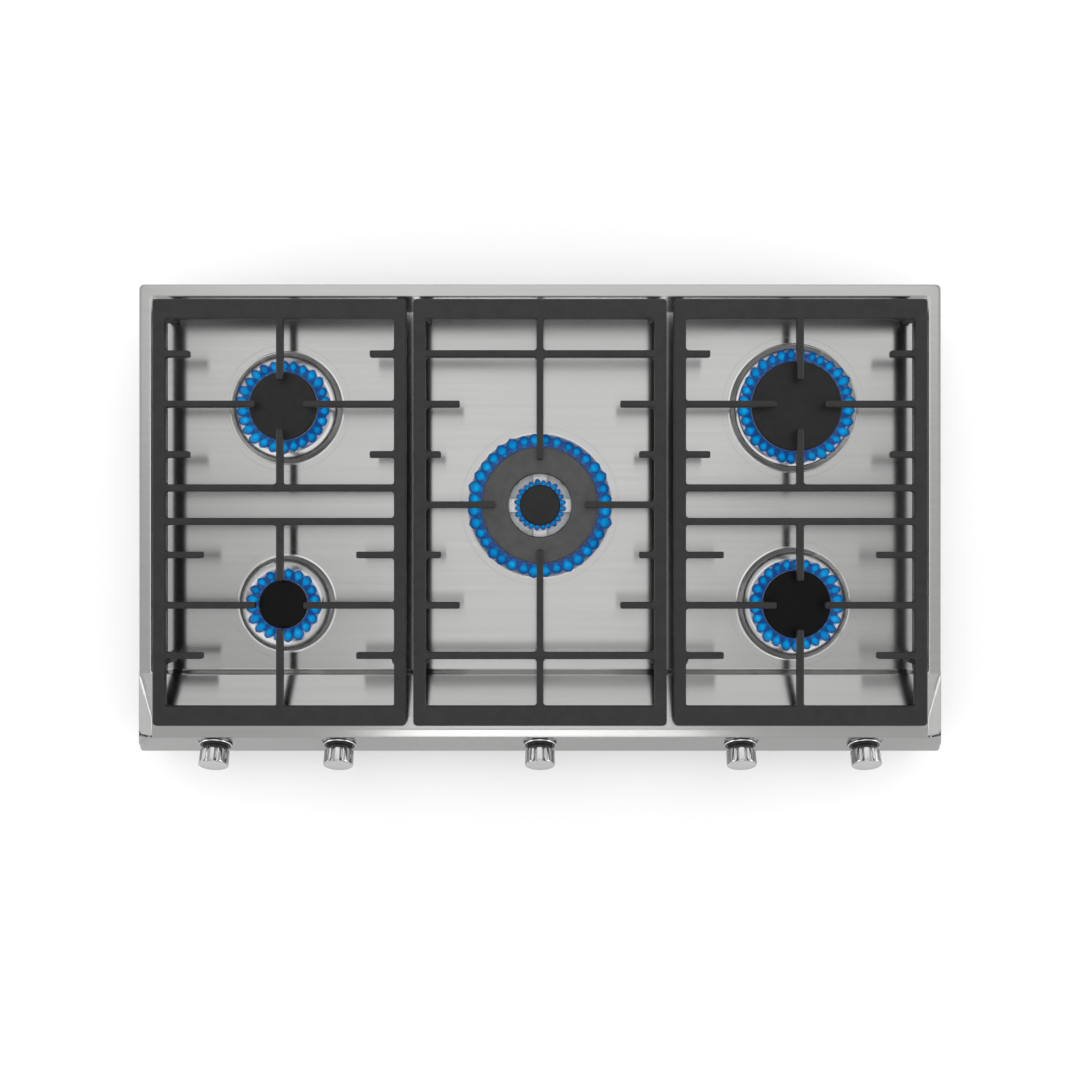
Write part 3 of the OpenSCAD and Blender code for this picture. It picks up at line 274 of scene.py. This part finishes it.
M = {
    "steel": stainless("stainless_brushed"),
    # darker copy of the brushed steel, for the leaning control panel: painted shade
    "panel": stainless("stainless_panel", (0.29, 0.29, 0.286), rough=0.22),
    "bowl": surface("bowl_polished", (0.50, 0.50, 0.495), 0.21, 1.0, 0.03, 400, bump=0.000004,
                    rough_spread=0.03),
    "galvanised": surface("galvanised", (0.50, 0.51, 0.52), 0.42, 1.0, 0.18, 90, bump=0.00003,
                          rough_spread=0.10),
    "zinc": surface("zinc_plated", (0.60, 0.60, 0.58), 0.32, 1.0, 0.08, 300, bump=0.00001),
    "die_cast": surface("die_cast", (0.50, 0.51, 0.52), 0.48, 1.0, 0.08, 500, bump=0.00006),
    "tube": surface("drawn_tube", (0.66, 0.67, 0.68), 0.28, 1.0, 0.05, 400, bump=0.00001),
    "brass": surface("brass_turned", (0.72, 0.53, 0.24), 0.28, 1.0, 0.10, 300, bump=0.00001),
    "head": surface("burner_head_cast", (0.46, 0.46, 0.46), 0.38, 1.0, 0.10, 500, bump=0.00005,
                    rough_spread=0.08),
    "iron": surface("cast_iron_enamel", (0.010, 0.010, 0.0105), 0.46, 0.0, 0.25, 900,
                    bump=0.00014, rough_spread=0.10, specular=0.34),
    # darker, less glossy copy of the black cap enamel, for the front caps: painted shade
    "cap_dark": surface("cap_enamel_painted_shade", (0.002, 0.002, 0.0022), 0.40, 0.0, 0.2, 1200,
                        bump=0.00003, rough_spread=0.05, specular=0.09),
    "cap": surface("cap_enamel", (0.009, 0.009, 0.0095), 0.40, 0.0, 0.2, 1200,
                   bump=0.00003, rough_spread=0.05, specular=0.20),
    # lighter, glossier copy of the black cap enamel, for the centre ring cap: painted light
    "cap_ring_lit": surface("cap_enamel_ring_painted_light", (0.032, 0.032, 0.033), 0.38, 0.0, 0.2, 1200,
                        bump=0.00003, rough_spread=0.05, specular=0.5),
    "rubber": surface("rubber", (0.020, 0.020, 0.021), 0.75, 0.0, 0.2, 700, bump=0.00004,
                      specular=0.3),
    "plastic": surface("black_plastic", (0.012, 0.012, 0.013), 0.42, 0.0, 0.15, 900,
                       bump=0.00002, specular=0.4),
    "ceramic": surface("ceramic", (0.80, 0.78, 0.72), 0.30, 0.0, 0.04, 500, bump=0.00001),
    # darker copy of the chrome, for the knob shells: painted shade, in place of the darker surroundings
    # they reflect
    "knob_chrome_shaded": surface("chrome_knob", (0.40, 0.40, 0.405), 0.13, 1.0, 0.04, 300, bump=0.0,
                           rough_spread=0.03),
    "chrome": surface("chrome", (0.74, 0.74, 0.75), 0.07, 1.0, 0.02, 300, bump=0.0,
                      rough_spread=0.02),
}


def put(obj, material, body, slot, *nodes):
    """Gives a piece its material and body, and hides the CAD nodes it stands for; its slot is not used.
    """
    obj.data.materials.clear()
    obj.data.materials.append(M[material] if isinstance(material, str) else material)
    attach(obj, body)
    if nodes:
        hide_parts(*nodes)
    return obj


# ---------------------------------------------------------------- top sheet
def pan_height(x, y):
    """Height of the top sheet at each point, before its edges are folded down."""
    side = (HALF_W - FLANGE - np.abs(x)) / SLOPE
    rear = (REAR - FLANGE - y) / SLOPE
    front = (y + RAMP) / FRONT_RUN
    edge = soft_min(side, rear, 0.35)
    well = soft_step(edge, 0.12) * soft_step(front, 0.3)
    up_y = (-RAMP - y) / RAMP_RUN
    up_x = (HALF_W - np.abs(x)) / LEDGE_IN
    rise = soft_step(soft_min(up_y, up_x, 0.04), 0.035)
    fall = (LEDGE_Y - y) / (LEDGE_Y - NOSE_Y)
    drop = soft_step(fall, 0.16) * (fall < 1.5)
    return RIM - WELL * well + LEDGE_RISE * rise - (LEDGE_RISE + RIM - NOSE_Z) * drop


def build_pan():
    """The top sheet: one height field with folded edges and a round opening for each bowl."""
    fold = 1.2
    turn = [math.radians(a) for a in (0, 22, 45, 67, 90)]
    edge_x = [HALF_W - fold + fold * math.sin(a) for a in turn] + [HALF_W]
    edge_dz = [-fold + fold * math.cos(a) for a in turn] + [-HEM]
    mid = stations(-HALF_W + fold, HALF_W - fold, 2.5,
                   [s * v for s in (-1, 1) for v in (443, 428, 436)])[1:-1]
    xs = np.concatenate([[-v for v in edge_x[::-1]], mid, edge_x])
    dzx = np.concatenate([edge_dz[::-1], np.zeros(len(mid)), edge_dz])
    ys_mid = stations(NOSE_Y + 0.9, REAR - fold, 2.5,
                      [-RAMP, -RAMP + FRONT_RUN, -RAMP - RAMP_RUN, LEDGE_Y, 238, 223])[1:-1]
    nose = [(NOSE_Y, -1.5), (NOSE_Y, -0.9), (NOSE_Y + 0.14, -0.45), (NOSE_Y + 0.45, -0.14),
            (NOSE_Y + 0.9, 0)]
    ys = np.concatenate([[p[0] for p in nose], ys_mid,
                         [REAR - fold + fold * math.sin(a) for a in turn] + [REAR]])
    dzy = np.concatenate([[p[1] for p in nose], np.zeros(len(ys_mid)), edge_dz])
    X, Y = np.meshgrid(xs, ys)
    Z = pan_height(X, np.maximum(Y, NOSE_Y + 0.5))
    DX, DY = np.meshgrid(dzx, dzy)
    keep = np.clip((Y + RAMP + 2) / 8, 0.28, 1)
    Z = Z + np.minimum(DX * keep, DY)
    # round the rear corners in plan, in place of square ones
    r = 6.0
    u, v = np.abs(X) - (HALF_W - r), Y - (REAR - r)
    both = (u > 0) & (v > 0)
    big = np.maximum(u, v)
    ang = np.arctan2(v, u)
    X = np.where(both, np.sign(X) * (HALF_W - r + big * np.cos(ang)), X)
    Y = np.where(both, REAR - r + big * np.sin(ang), Y)
    rows, cols = X.shape
    verts = np.stack([X.ravel(), Y.ravel(), Z.ravel()], 1)
    faces = grid_faces(rows, cols)
    f = np.array(faces)
    centre = verts[f].mean(1)
    gone = np.zeros(len(f), bool)
    for bx, by, _, _, ro, _ in BURNERS.values():
        gone |= np.hypot(centre[:, 0] - bx, centre[:, 1] - by) < ro + 2.2
    f = f[~gone]
    used = np.unique(f)
    index = -np.ones(len(verts), int)
    index[used] = np.arange(len(used))
    pan = new_object("top_sheet", verts[used], index[f], (0, 0, 1))
    solidify(pan, SHEET)
    return put(pan, "steel", "rangetop", "stainless_top", "cooktop_pan")


def build_bowl(name, bx, by, ri, ro, hole):
    """A pressed bowl: bead, dish and the raised ring the burner head stands on."""
    rim, top = ro - 0.2, FLOOR + 0.02
    bead_w, bead_h, bead_steps = 1.8, 0.40, 6
    deep, dish_steps, turn_up, ring_drop = 5.2, 28, 0.72, 3
    pts = [(ro + 6.5, top), (ro + 6.2, top), (rim + 0.4, top), (rim, top)]
    for i in range(1, bead_steps + 1):
        t = i / bead_steps
        pts.append((rim - bead_w * t, top + bead_h * math.sin(math.pi * t * 0.5) ** 2))
    r0, z0 = pts[-1]
    for i in range(1, dish_steps + 1):
        s = i / dish_steps
        r = r0 + (ri - r0) * s
        dish = (1 - (1 - min(1.0, s / turn_up)) ** 2.2) * deep
        lift = 0.5 - 0.5 * math.cos(math.pi * max(0.0, (s - turn_up) / (1 - turn_up)))
        pts.append((r, z0 - dish + lift * (deep - ring_drop - (z0 - FLOOR))))
    pts += [(ri - 1.5, FLOOR - ring_drop), (hole + 1.0, FLOOR - ring_drop)]
    pts += [(hole + 0.3, FLOOR - 3.2), (hole, FLOOR - 3.9), (hole, FLOOR - 4.4)]
    verts, faces = lathe(pts, 192)
    verts = np.array(verts) + np.array([bx, by, 0])
    bowl = new_object("bowl_" + name, verts, faces, (0, 0, 1))
    put(bowl, "bowl", "rangetop", "stainless_top")
    # outside the bead the bowl is the brushed sheet
    bowl.data.materials.append(M["steel"])
    for poly in bowl.data.polygons:
        if math.hypot(poly.center[0] / MM - bx, poly.center[1] / MM - by) > rim:
            poly.material_index = 1
    solidify(bowl, SHEET * 0.8)
    return bowl


# ---------------------------------------------------------------- control panel
def panel_y(z):
    """Front face of the panel at a height, with its lower bend rounded."""
    t = (FOOT_Z - z) / 4.0
    slope = NOSE_Y - (NOSE_Z - z) * math.tan(LEAN)
    foot = NOSE_Y - (NOSE_Z - FOOT_Z) * math.tan(LEAN) - 1.0 * np.clip(t, 0, 1)
    blend = np.clip((z - (FOOT_Z - 2.5)) / 5.0, 0, 1)
    s = blend * blend * (3 - 2 * blend)
    return slope * s + foot * (1 - s)


def half_at(z):
    """Half width of the control section at a height."""
    up = HALF_W - LEDGE_IN * (z - RIM) / LEDGE_RISE
    mid = HALF_W + (CHEEK - HALF_W) * (RIM - z) / (RIM - FOOT_Z)
    return float(np.where(z > RIM, up, np.minimum(mid, CHEEK)))


def outline(half, yf, y0, fillet, xs):
    """Plan of one level, from the left side's rear end round the front to the right side's."""
    side = [(-half, y0 + (yf + fillet - y0) * i / 6) for i in range(6)]
    corner = [(-half + fillet - fillet * math.cos(a), yf + fillet - fillet * math.sin(a))
              for a in np.linspace(0, math.pi / 2, 7)]
    left = side + corner
    right = [(-x, y) for x, y in left[::-1]]
    return left + [(x, yf) for x in xs] + right


def add_knob_window(verts, faces, x, window):
    """A square of panel around a knob, with a round hole for its collar."""
    start, rings, n = len(verts), 5, 96
    for ring in range(rings):
        t = ring / (rings - 1)
        for j in range(n):
            a = 2 * math.pi * (j + 0.5) / n
            c, s = math.cos(a), math.sin(a)
            far = window / max(abs(c), abs(s))
            r = far + (COLLAR_HOLE_R - far) * t
            verts.append((x + r * c, PANEL_Y + r * s * math.sin(LEAN),
                          PANEL_Z + r * s * math.cos(LEAN)))
    faces += grid_faces(rings, n, start, wrap=True)
    for sx, sv in ((1, 1), (-1, 1), (-1, -1), (1, -1)):
        verts.append((x + sx * window, PANEL_Y + sv * window * math.sin(LEAN),
                      PANEL_Z + sv * window * math.cos(LEAN)))
        corner = len(verts) - 1
        a = math.degrees(math.atan2(sv, sx)) % 360
        j = int(a / 360 * n) - 1
        faces.append((start + j % n, start + (j + 1) % n, corner))


def face_outward(mesh, inner):
    """Turns every face away from a point inside the control section, and joins its seams."""
    straight = 0.45

    def away(p):
        x = 0 if abs(p.center.x) < straight else p.center.x
        return p.normal.dot(Vector((x, p.center.y, p.center.z)) - inner)

    bad = [p.index for p in mesh.polygons if away(p) < 0]
    bm = bmesh.new()
    bm.from_mesh(mesh)
    bm.faces.ensure_lookup_table()
    bmesh.ops.reverse_faces(bm, faces=[bm.faces[i] for i in bad])
    bmesh.ops.remove_doubles(bm, verts=bm.verts, dist=0.00002)
    bm.to_mesh(mesh)
    bm.free()
    mesh.polygons.foreach_set("use_smooth", [True] * len(mesh.polygons))


def build_fascia():
    """Leaning panel, cheeks and skirt: outlines stacked by height, then windows for the knobs."""
    window = 16.0
    zw = window * math.cos(LEAN)
    side_top = 98.5
    xs = [v for v in stations(-425, 425, 6, []) if all(abs(v - k) > window + 1 for k in KNOB_X)]
    for k in KNOB_X:
        xs += [k - window, k + window]
    xs = sorted(xs)
    heights = sorted({SKIRT_Z, SKIRT_Z + 0.4, SKIRT_Z + 1.2, 40.0, 55.0, 68.0, 74.0, PANEL_Z - zw,
                      side_top, *np.round(np.linspace(76, 84, 13), 2)})
    rings = [outline(half_at(z), float(panel_y(z)), -RAMP, 3.0, xs) for z in heights]
    # above the cheeks only the panel and its ends go on
    for z in sorted([side_top + 0.05, PANEL_Z, 106.0, 112.0, PANEL_Z + zw, 117.2, 117.9]):
        rings.append(outline(half_at(z), float(panel_y(z)), NOSE_Y - 0.25, 2.2, xs))
        heights.append(z)
    # the upper edge turns in beside the seam
    for z, turn_in in ((118.3, 0.25), (118.45, 0.7)):
        rings.append(outline(half_at(z) - turn_in * 0.4, float(panel_y(117.9)) + 0.25 + turn_in,
                             NOSE_Y - 0.1, 1.6, xs))
        heights.append(z)
    verts = [(x, y, z) for ring, z in zip(rings, heights) for x, y in ring]
    v = np.array(verts)
    faces = []
    for fc in grid_faces(len(rings), len(rings[0])):
        x, y, z = v[list(fc)].mean(0)
        in_window = any(abs(x - k) < window for k in KNOB_X) and abs(z - PANEL_Z) < zw
        if not (in_window and y < -255):
            faces.append(fc)
    for k in KNOB_X:
        add_knob_window(verts, faces, k, window)
    # return flange under the skirt
    start = len(verts)
    xr = [-458.0] + list(xs) + [458.0]
    for y, z in ((SKIRT_Y, 25.01), (SKIRT_Y + 0.4, 25.009), (SKIRT_Y + 8.9, 25.009),
                 (SKIRT_Y + 9.6, 25.61)):
        verts += [(x, y, z) for x in xr]
    faces += grid_faces(4, len(xr), start)
    fascia = new_object("control_panel", verts, faces)
    face_outward(fascia.data, Vector((0, -0.225, 0.07)))
    solidify(fascia, SHEET * 0.9)
    # the panel takes the darker copy of the steel: painted shade
    return put(fascia, "panel", "rangetop", "stainless_panel", "control_fascia")


# ---------------------------------------------------------------- knobs
def knob_frame(verts, x):
    """Points of a knob's own frame, x across, y up the panel, z outward, into the row frame."""
    v = np.array(verts, float)
    return np.stack([v[:, 0] + x,
                     PANEL_Y + v[:, 1] * math.sin(LEAN) - v[:, 2] * math.cos(LEAN),
                     PANEL_Z + v[:, 1] * math.cos(LEAN) + v[:, 2] * math.sin(LEAN)], 1)


def fluted(r, w, a):
    """Eight rounded grooves between slightly flattened lobes."""
    if r < 13.2:
        return r
    pitch = math.pi / 4
    base = math.radians(90 - 18)
    off = (a - base + pitch / 2) % pitch - pitch / 2
    groove = 1.15 * math.exp(-((off / 0.075) ** 2))
    lobe = abs(abs(off) - pitch / 2)
    flat = 0.45 * (lobe / (pitch / 2)) ** 2
    fade = min(1.0, max(0.0, (25.4 - w) / 1.5)) * min(1.0, (r - 13.2) / 2.0)
    return r - (groove + flat) * fade


def build_knob(i, x):
    """Chrome shell and black collar of one knob, drawn as (radius, distance from the panel)."""
    n = str(i + 1)
    shell = [(11.75, 20.6), (11.75, 9.5), (12.1, 8.85), (13.4, 8.65), (15.6, 8.65)]
    shell += arc(15.7, 9.6, 0.9, -90, 0, 6)[1:]
    shell += [(16.72, 13), (16.84, 18), (16.93, 23.4)]
    shell += arc(15.55, 24.5, 1.4, 0, 90, 8)[1:]
    shell += [(14.9, 25.92), (14.2, 25.8), (13.6, 25.5), (12.9, 25.3), (8, 25.25), (3, 25.23)]
    shell += [(0.01, 25.22)]
    verts, faces = lathe(shell, 256, fluted)
    face = new_object("knob_face_" + n, knob_frame(verts, x), faces)
    # the shell takes the darker copy of the chrome: painted shade
    put(face, "knob_chrome_shaded", "knob_" + n, "chrome_knob", "knob_shell_" + n)
    core = [(3.2, 1.05), (12.6, 1.05)] + arc(12.7, 1.8, 0.75, -90, 0, 5)[1:]
    core += [(13.45, 3.2), (13.2, 3.5), (13.45, 3.8), (13.45, 7.7), (13.0, 8.35), (11.6, 8.45)]
    core += [(11.6, 20.2), (3.2, 20.4)]
    verts, faces = lathe(core, 96)
    collar = new_object("knob_collar_" + n, knob_frame(verts, x), faces)
    put(collar, "plastic", "knob_" + n, "black_collar", "knob_core_" + n)
    return face, collar


def bezel_ring(x):
    """Points and faces of the ring on the panel around one knob."""
    ring = [(13.95, 0.06), (17.6, 0.06), (17.95, 0.3), (18.0, 1.0)]
    ring += arc(17.3, 1.35, 0.7, 0, 75, 6)[1:]
    ring += [(16.9, 2.25)] + arc(16.2, 2.2, 0.6, 20, 100, 5) + [(14.7, 2.45)]
    ring += arc(14.5, 1.9, 0.55, 90, 180, 5)
    verts, faces = lathe(ring + [ring[0]], 160)
    return knob_frame(verts, x), faces


def build_bezels():
    """One piece of five rings: chrome at the rim, black on the step inside it."""
    black_r = 17.5
    verts, faces = [], []
    for x in KNOB_X:
        pts, fcs = bezel_ring(x)
        base = len(verts)
        verts += [tuple(p) for p in pts]
        faces += [tuple(base + q for q in fc) for fc in fcs]
    bezels = new_object("bezel_rings", verts, faces)
    fix_normals(bezels)
    put(bezels, "chrome", "rangetop", "chrome_bezel", "knob_bezels")
    bezels.data.materials.append(M["plastic"])
    for poly in bezels.data.polygons:
        x, z = poly.center[0] / MM, poly.center[2] / MM
        across = min((x - k for k in KNOB_X), key=abs)
        up = (z - PANEL_Z) / math.cos(LEAN) - 0.9
        if math.hypot(across, up) < black_r:
            poly.material_index = 1


# ---------------------------------------------------------------- burners
def cap_profile(r, z, spigot):
    """Profile of a disc cap from its middle below to its middle above, slightly crowned."""
    top = z + CAP_T
    pts = [(0.01, z), (spigot - 2.5, z), (spigot - 2.5, z - 3), (spigot, z - 3), (spigot, z)]
    pts += [(r - 1.4, z)] + arc(r - 1.2, z + 1.2, 1.2, -90, 0, 5)
    pts += arc(r - 2.6, top - 2.75, 2.6, 0, 84, 10)
    pts += [(r - 4.5, top - 0.10), (r * 0.7, top - 0.05), (r * 0.35, top - 0.02), (0.01, top)]
    return pts


def ring_cap_profile(r, z, spigot):
    """Closed profile of the centre burner's ring cap, from its hole below round to its hole."""
    hole, top = CAP_HOLE_R, z + CAP_T
    pts = [(hole + 1.2, z), (spigot - 2.5, z), (spigot - 2.5, z - 3), (spigot, z - 3), (spigot, z)]
    pts += [(r - 1.4, z)] + arc(r - 1.2, z + 1.2, 1.2, -90, 0, 5)
    pts += arc(r - 2.8, top - 2.9, 2.8, 0, 80, 10)
    pts += [(r - 5, top - 0.12), ((r + hole) / 2, top), (hole + 5, top - 0.12)]
    pts += arc(hole + 2.8, top - 2.9, 2.8, 100, 180, 10)
    pts += arc(hole + 1.2, z + 1.2, 1.2, 180, 270, 5)
    return pts


def put_cap(name, node, profile, at, steps, kind):
    """One cap from its profile."""
    verts, faces = lathe(profile, steps)
    cap = new_object(name, np.array(verts) + np.array([*at, 0]), faces, (0, 0, 1))
    put(cap, kind, node, "black_enamel", node)
    fix_normals(cap)


def build_caps():
    z, spigot_in = CAP_Z - CAP_T, 8.3
    for name, (bx, by, r, _, _, _) in BURNERS.items():
        if name == "centre":
            # the ring cap takes the lighter copy of the enamel: painted light
            put_cap("cap_top_centre_ring", "cap_centre_ring", ring_cap_profile(r, z, r - spigot_in),
                    (bx, by), 192, "cap_ring_lit")
            put_cap("cap_top_centre_core", "cap_centre_core", cap_profile(CORE_R, z - 3, 16.2),
                    (bx, by), 128, "cap")
            continue
        # the front caps take the darker copy of the enamel: painted shade
        kind = "cap_dark" if name.endswith("front") else "cap"
        put_cap("cap_top_" + name, "cap_" + name, cap_profile(r, z, r - spigot_in), (bx, by), 160, kind)


def flame_material():
    """Blue gas flame: clear at its edges, deep blue inside them and azure in its heart."""
    n = Nodes("gas_flame")
    attr = n.tree.nodes.new("ShaderNodeAttribute")
    attr.attribute_name = "heart"
    ramp = n.tree.nodes.new("ShaderNodeValToRGB")
    stops = ((0.0, (0.01, 0.09, 0.30)), (0.34, (0.002, 0.040, 0.20)), (0.55, (0.002, 0.17, 0.44)),
             (0.85, (0.003, 0.29, 0.66)), (1.0, (0.02, 0.38, 0.75)))
    el = ramp.color_ramp.elements
    while len(el) < len(stops):
        el.new(0.5)
    for e, (p, c) in zip(el, stops):
        e.position = p
        e.color = (*c, 1)
    n.link(attr.outputs["Fac"], ramp.inputs["Fac"])
    glow = n.tree.nodes.new("ShaderNodeEmission")
    n.link(ramp.outputs["Color"], glow.inputs["Color"])
    glow.inputs["Strength"].default_value = 1.0
    clear = n.tree.nodes.new("ShaderNodeBsdfTransparent")
    mix = n.tree.nodes.new("ShaderNodeMixShader")
    n.link(n.remap(attr.outputs["Fac"], 0.0, 0.95, 0.0, 0.27), mix.inputs["Fac"])
    n.link(clear.outputs[0], mix.inputs[1])
    n.link(glow.outputs[0], mix.inputs[2])
    n.link(mix.outputs[0], n.tree.nodes["Material Output"].inputs["Surface"])
    n.tree.nodes.remove(n.bsdf)
    return n.mat


def flame_band(r0, r1, z0, count, steps):
    """A low veil of gas light between the flames, clear towards its rims."""
    verts, heart = [], []
    radial = 14
    for i in range(radial + 1):
        t = i / radial
        r = r0 + (r1 - r0) * t
        z = z0 + 2.0 * t * t
        for k in range(steps):
            a = 2 * math.pi * k / steps
            wave = 0.5 + 0.5 * math.cos(count * a - math.pi)
            edge = min(1.0, t / 0.10) * min(1.0, (1 - t) / 0.36) ** 1.2
            verts.append((r * math.cos(a), r * math.sin(a), z))
            heart.append((0.30 + 0.16 * wave) * edge)
    return verts, grid_faces(radial + 1, steps, wrap=True), heart


def flame_points(r0, z0, length, width, angle, shine):
    """One flame as rings of points, each with its brightness: outward from its port, then up."""
    bend, rows, cols = 1.25, 11, 12
    points, glow = [], []
    for i in range(rows):
        t = i / (rows - 1)
        out = r0 + length * math.sin(t * bend) / math.sin(bend)
        up = z0 + length * (0.10 * t + 0.62 * t * t)
        fat = width * (0.30 + 0.70 * math.sin(math.pi * min(1.0, t * 0.85 + 0.10)) ** 0.8)
        fat *= 1.0 if t < 0.8 else max(0.15, 1 - ((t - 0.8) / 0.2) ** 2 * 0.85)
        lean = math.atan2(0.10 + 1.24 * t, bend * math.cos(t * bend))
        body = math.sin(math.pi * (0.12 + 0.84 * t)) ** 0.55
        for j in range(cols):
            b = 2 * math.pi * j / cols
            s, h = fat * math.cos(b) / 2, fat * math.sin(b) / 2
            r, z = out - h * math.sin(lean), up + h * math.cos(lean)
            points.append((r * math.cos(angle) - s * math.sin(angle),
                           r * math.sin(angle) + s * math.cos(angle), z))
            glow.append(max(0.0, shine * max(0.0, math.sin(b)) ** 0.9 * body))
    return points, grid_faces(rows, cols, wrap=True), glow


def build_flames(name, rings, at, body):
    """Rings of flames, each ring with a veil of gas light at their feet, as one piece."""
    rng = np.random.default_rng(7)
    verts, faces, heart = [], [], []

    def add(points, fcs, glow):
        base = len(verts)
        verts.extend((x + at[0], y + at[1], z) for x, y, z in points)
        faces.extend(tuple(base + q for q in fc) for fc in fcs)
        heart.extend(glow)

    for count, r0, z0, length, width, bright in rings:
        pts, fcs, glow = flame_band(r0 - 4.5, r0 + length, z0 - 0.6, count, count * 8)
        add(pts, fcs, [g * bright for g in glow])
        for k in range(count):
            angle = 2 * math.pi * (k + 0.5) / count + rng.normal(0, 0.012)
            size = 1 + rng.normal(0, 0.11)
            shine = bright * (0.90 + rng.normal(0, 0.10))
            add(*flame_points(r0, z0, length * size, width * size, angle, shine))
    obj = new_object("flames_" + name, verts, faces)
    attr = obj.data.attributes.new("heart", "FLOAT", "POINT")
    attr.data.foreach_set("value", heart)
    obj.data.materials.append(FLAME)
    obj.visible_glossy = False
    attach(obj, body)
    return obj


# ---------------------------------------------------------------- build
build_pan()
for key, (bx, by, _, ri, ro, _) in BURNERS.items():
    build_bowl(key, bx, by, ri, ro, ri - 13.5)
build_fascia()
knobs = [build_knob(i, kx) for i, kx in enumerate(KNOB_X)]
build_bezels()
for face, collar in knobs:
    fix_normals(face)
    fix_normals(collar)
build_caps()

FLAME = flame_material()
for key, (bx, by, cap_r, _, _, ports) in BURNERS.items():
    # number, start radius, height, length, width and brightness of each ring of flames
    rings = [(ports, cap_r + 3.5, FLAME_Z, 11.5, 9.6, 1.0)]
    if key == "centre":
        rings = [(ports, cap_r + 3.8, FLAME_Z, 11.5, 11.0, 1.0), (24, 21.5, INNER_FLAME_Z, 8.5, 5.6, 0.8)]
    build_flames(key, rings, (bx, by), "head_" + key)

CAD_LOOKS = {
    "burner_box": ("galvanised", 0.35), "manifold_brackets": ("galvanised", 0.3),
    "gas_manifold": ("zinc", 0), "pressure_regulator": ("die_cast", 0.5),
    "inlet_elbow": ("brass", 0.5), "gas_valves": ("die_cast", 0.3), "gas_tubes": ("tube", 0),
    "injectors": ("brass", 0.15), "burner_bases": ("die_cast", 0.4),
    "spark_electrodes": ("ceramic", 0.2), "spark_module": ("plastic", 0.8),
    "ignition_leads": ("rubber", 0), "ignition_switches": ("plastic", 0.4),
    "hold_down_clips": ("zinc", 0.25), "box_studs": ("zinc", 0.2), "stud_nuts": ("zinc", 0.25),
    "fascia_screws": ("zinc", 0.2), "burner_screws": ("zinc", 0.2), "flange_seal": ("rubber", 0.5),
    "power_inlet": ("plastic", 0.4),
}
# the same for every node of a family, by the start of its name
FAMILY_LOOKS = {
    "grate_": ("iron", 0), "feet_": ("rubber", 0.6), "head_": ("head", 0.3), "plug_": ("brass", 0.2),
    "stem_": ("zinc", 0.25),
}


def look_at(obj, look, width):
    """Gives a CAD node its material and, with a width, soft edges."""
    obj.data.materials.clear()
    obj.data.materials.append(M[look])
    if width:
        soften(obj, width)


def cast_surface(obj):
    """Rounds a grate's edges evenly, as cast iron is."""
    m = obj.modifiers.new("even_mesh", "REMESH")
    m.mode = "VOXEL"
    m.voxel_size = 0.0015
    m.use_smooth_shade = True
    m = obj.modifiers.new("cast_edges", "SMOOTH")
    m.factor = 0.5
    m.iterations = 2


for node, (look, width) in CAD_LOOKS.items():
    look_at(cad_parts[node], look, width)
for node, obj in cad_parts.items():
    for start, (look, width) in FAMILY_LOOKS.items():
        if node.startswith(start):
            look_at(obj, look, width)
    if node.startswith("grate_"):
        cast_surface(obj)

# ---------------------------------------------------------------- floor, light, camera
reach, drop = 6000, -1
floor = new_object("floor", [(-reach, -reach, drop), (reach, -reach, drop), (reach, reach, drop),
                             (-reach, reach, drop)], [(0, 1, 2, 3)], (0, 0, 1), smooth=False)
floor.data.materials.append(surface("floor_white", (0.90, 0.90, 0.90), 0.9, 0.0, 0.005, 3,
                                    specular=0.1))

scene = bpy.context.scene
scene.view_settings.view_transform = "Standard"
world = bpy.data.worlds.new("studio")
scene.world = world
world.use_nodes = True
world.node_tree.nodes["Background"].inputs["Color"].default_value = (1, 1, 1, 1)
world.node_tree.nodes["Background"].inputs["Strength"].default_value = 0.87


def area_light(name, place, aim, size, power, size_y, shape="RECTANGLE"):
    data = bpy.data.lights.new(name, "AREA")
    data.shape = shape
    data.size = size
    data.size_y = size_y
    data.energy = power
    lamp = bpy.data.objects.new(name, data)
    scene.collection.objects.link(lamp)
    lamp.location = place
    lamp.rotation_mode = "QUATERNION"
    lamp.rotation_quaternion = (Vector(aim) - Vector(place)).to_track_quat("-Z", "Y")
    return lamp


area_light("overhead", (0.0, 0.95, 3.15), (0, 0.95, 0), 3.0, 12.0, shape="ELLIPSE", size_y=2.4)
area_light("rear_soft", (0.0, 3.0, 2.2), (0, 0, 0.1), 3.4, 14, size_y=1.4)
area_light("front_strip", (0.0, -0.76, 3.15), (0, 0, 0), 1.1, 2.0, size_y=0.34)
area_light("front_soft", (0.0, -3.0, 2.9), (0, -0.2, 0.1), 1.3, 13, size_y=0.9)
area_light("left_soft", (-4.2, 0.0, 1.6), (0, 0, 0), 5.0, 75, size_y=2.6)
area_light("right_soft", (4.2, 0.0, 1.6), (0, 0, 0), 5.0, 75, size_y=2.6)

camera = bpy.data.objects.new("camera", bpy.data.cameras.new("camera"))
scene.collection.objects.link(camera)
scene.camera = camera
camera.location = (0, -0.0393, 1.600)
camera.rotation_euler = (0, 0, 0)
camera.data.sensor_width = 36
camera.data.lens = 43.9
camera.data.clip_start = 0.05
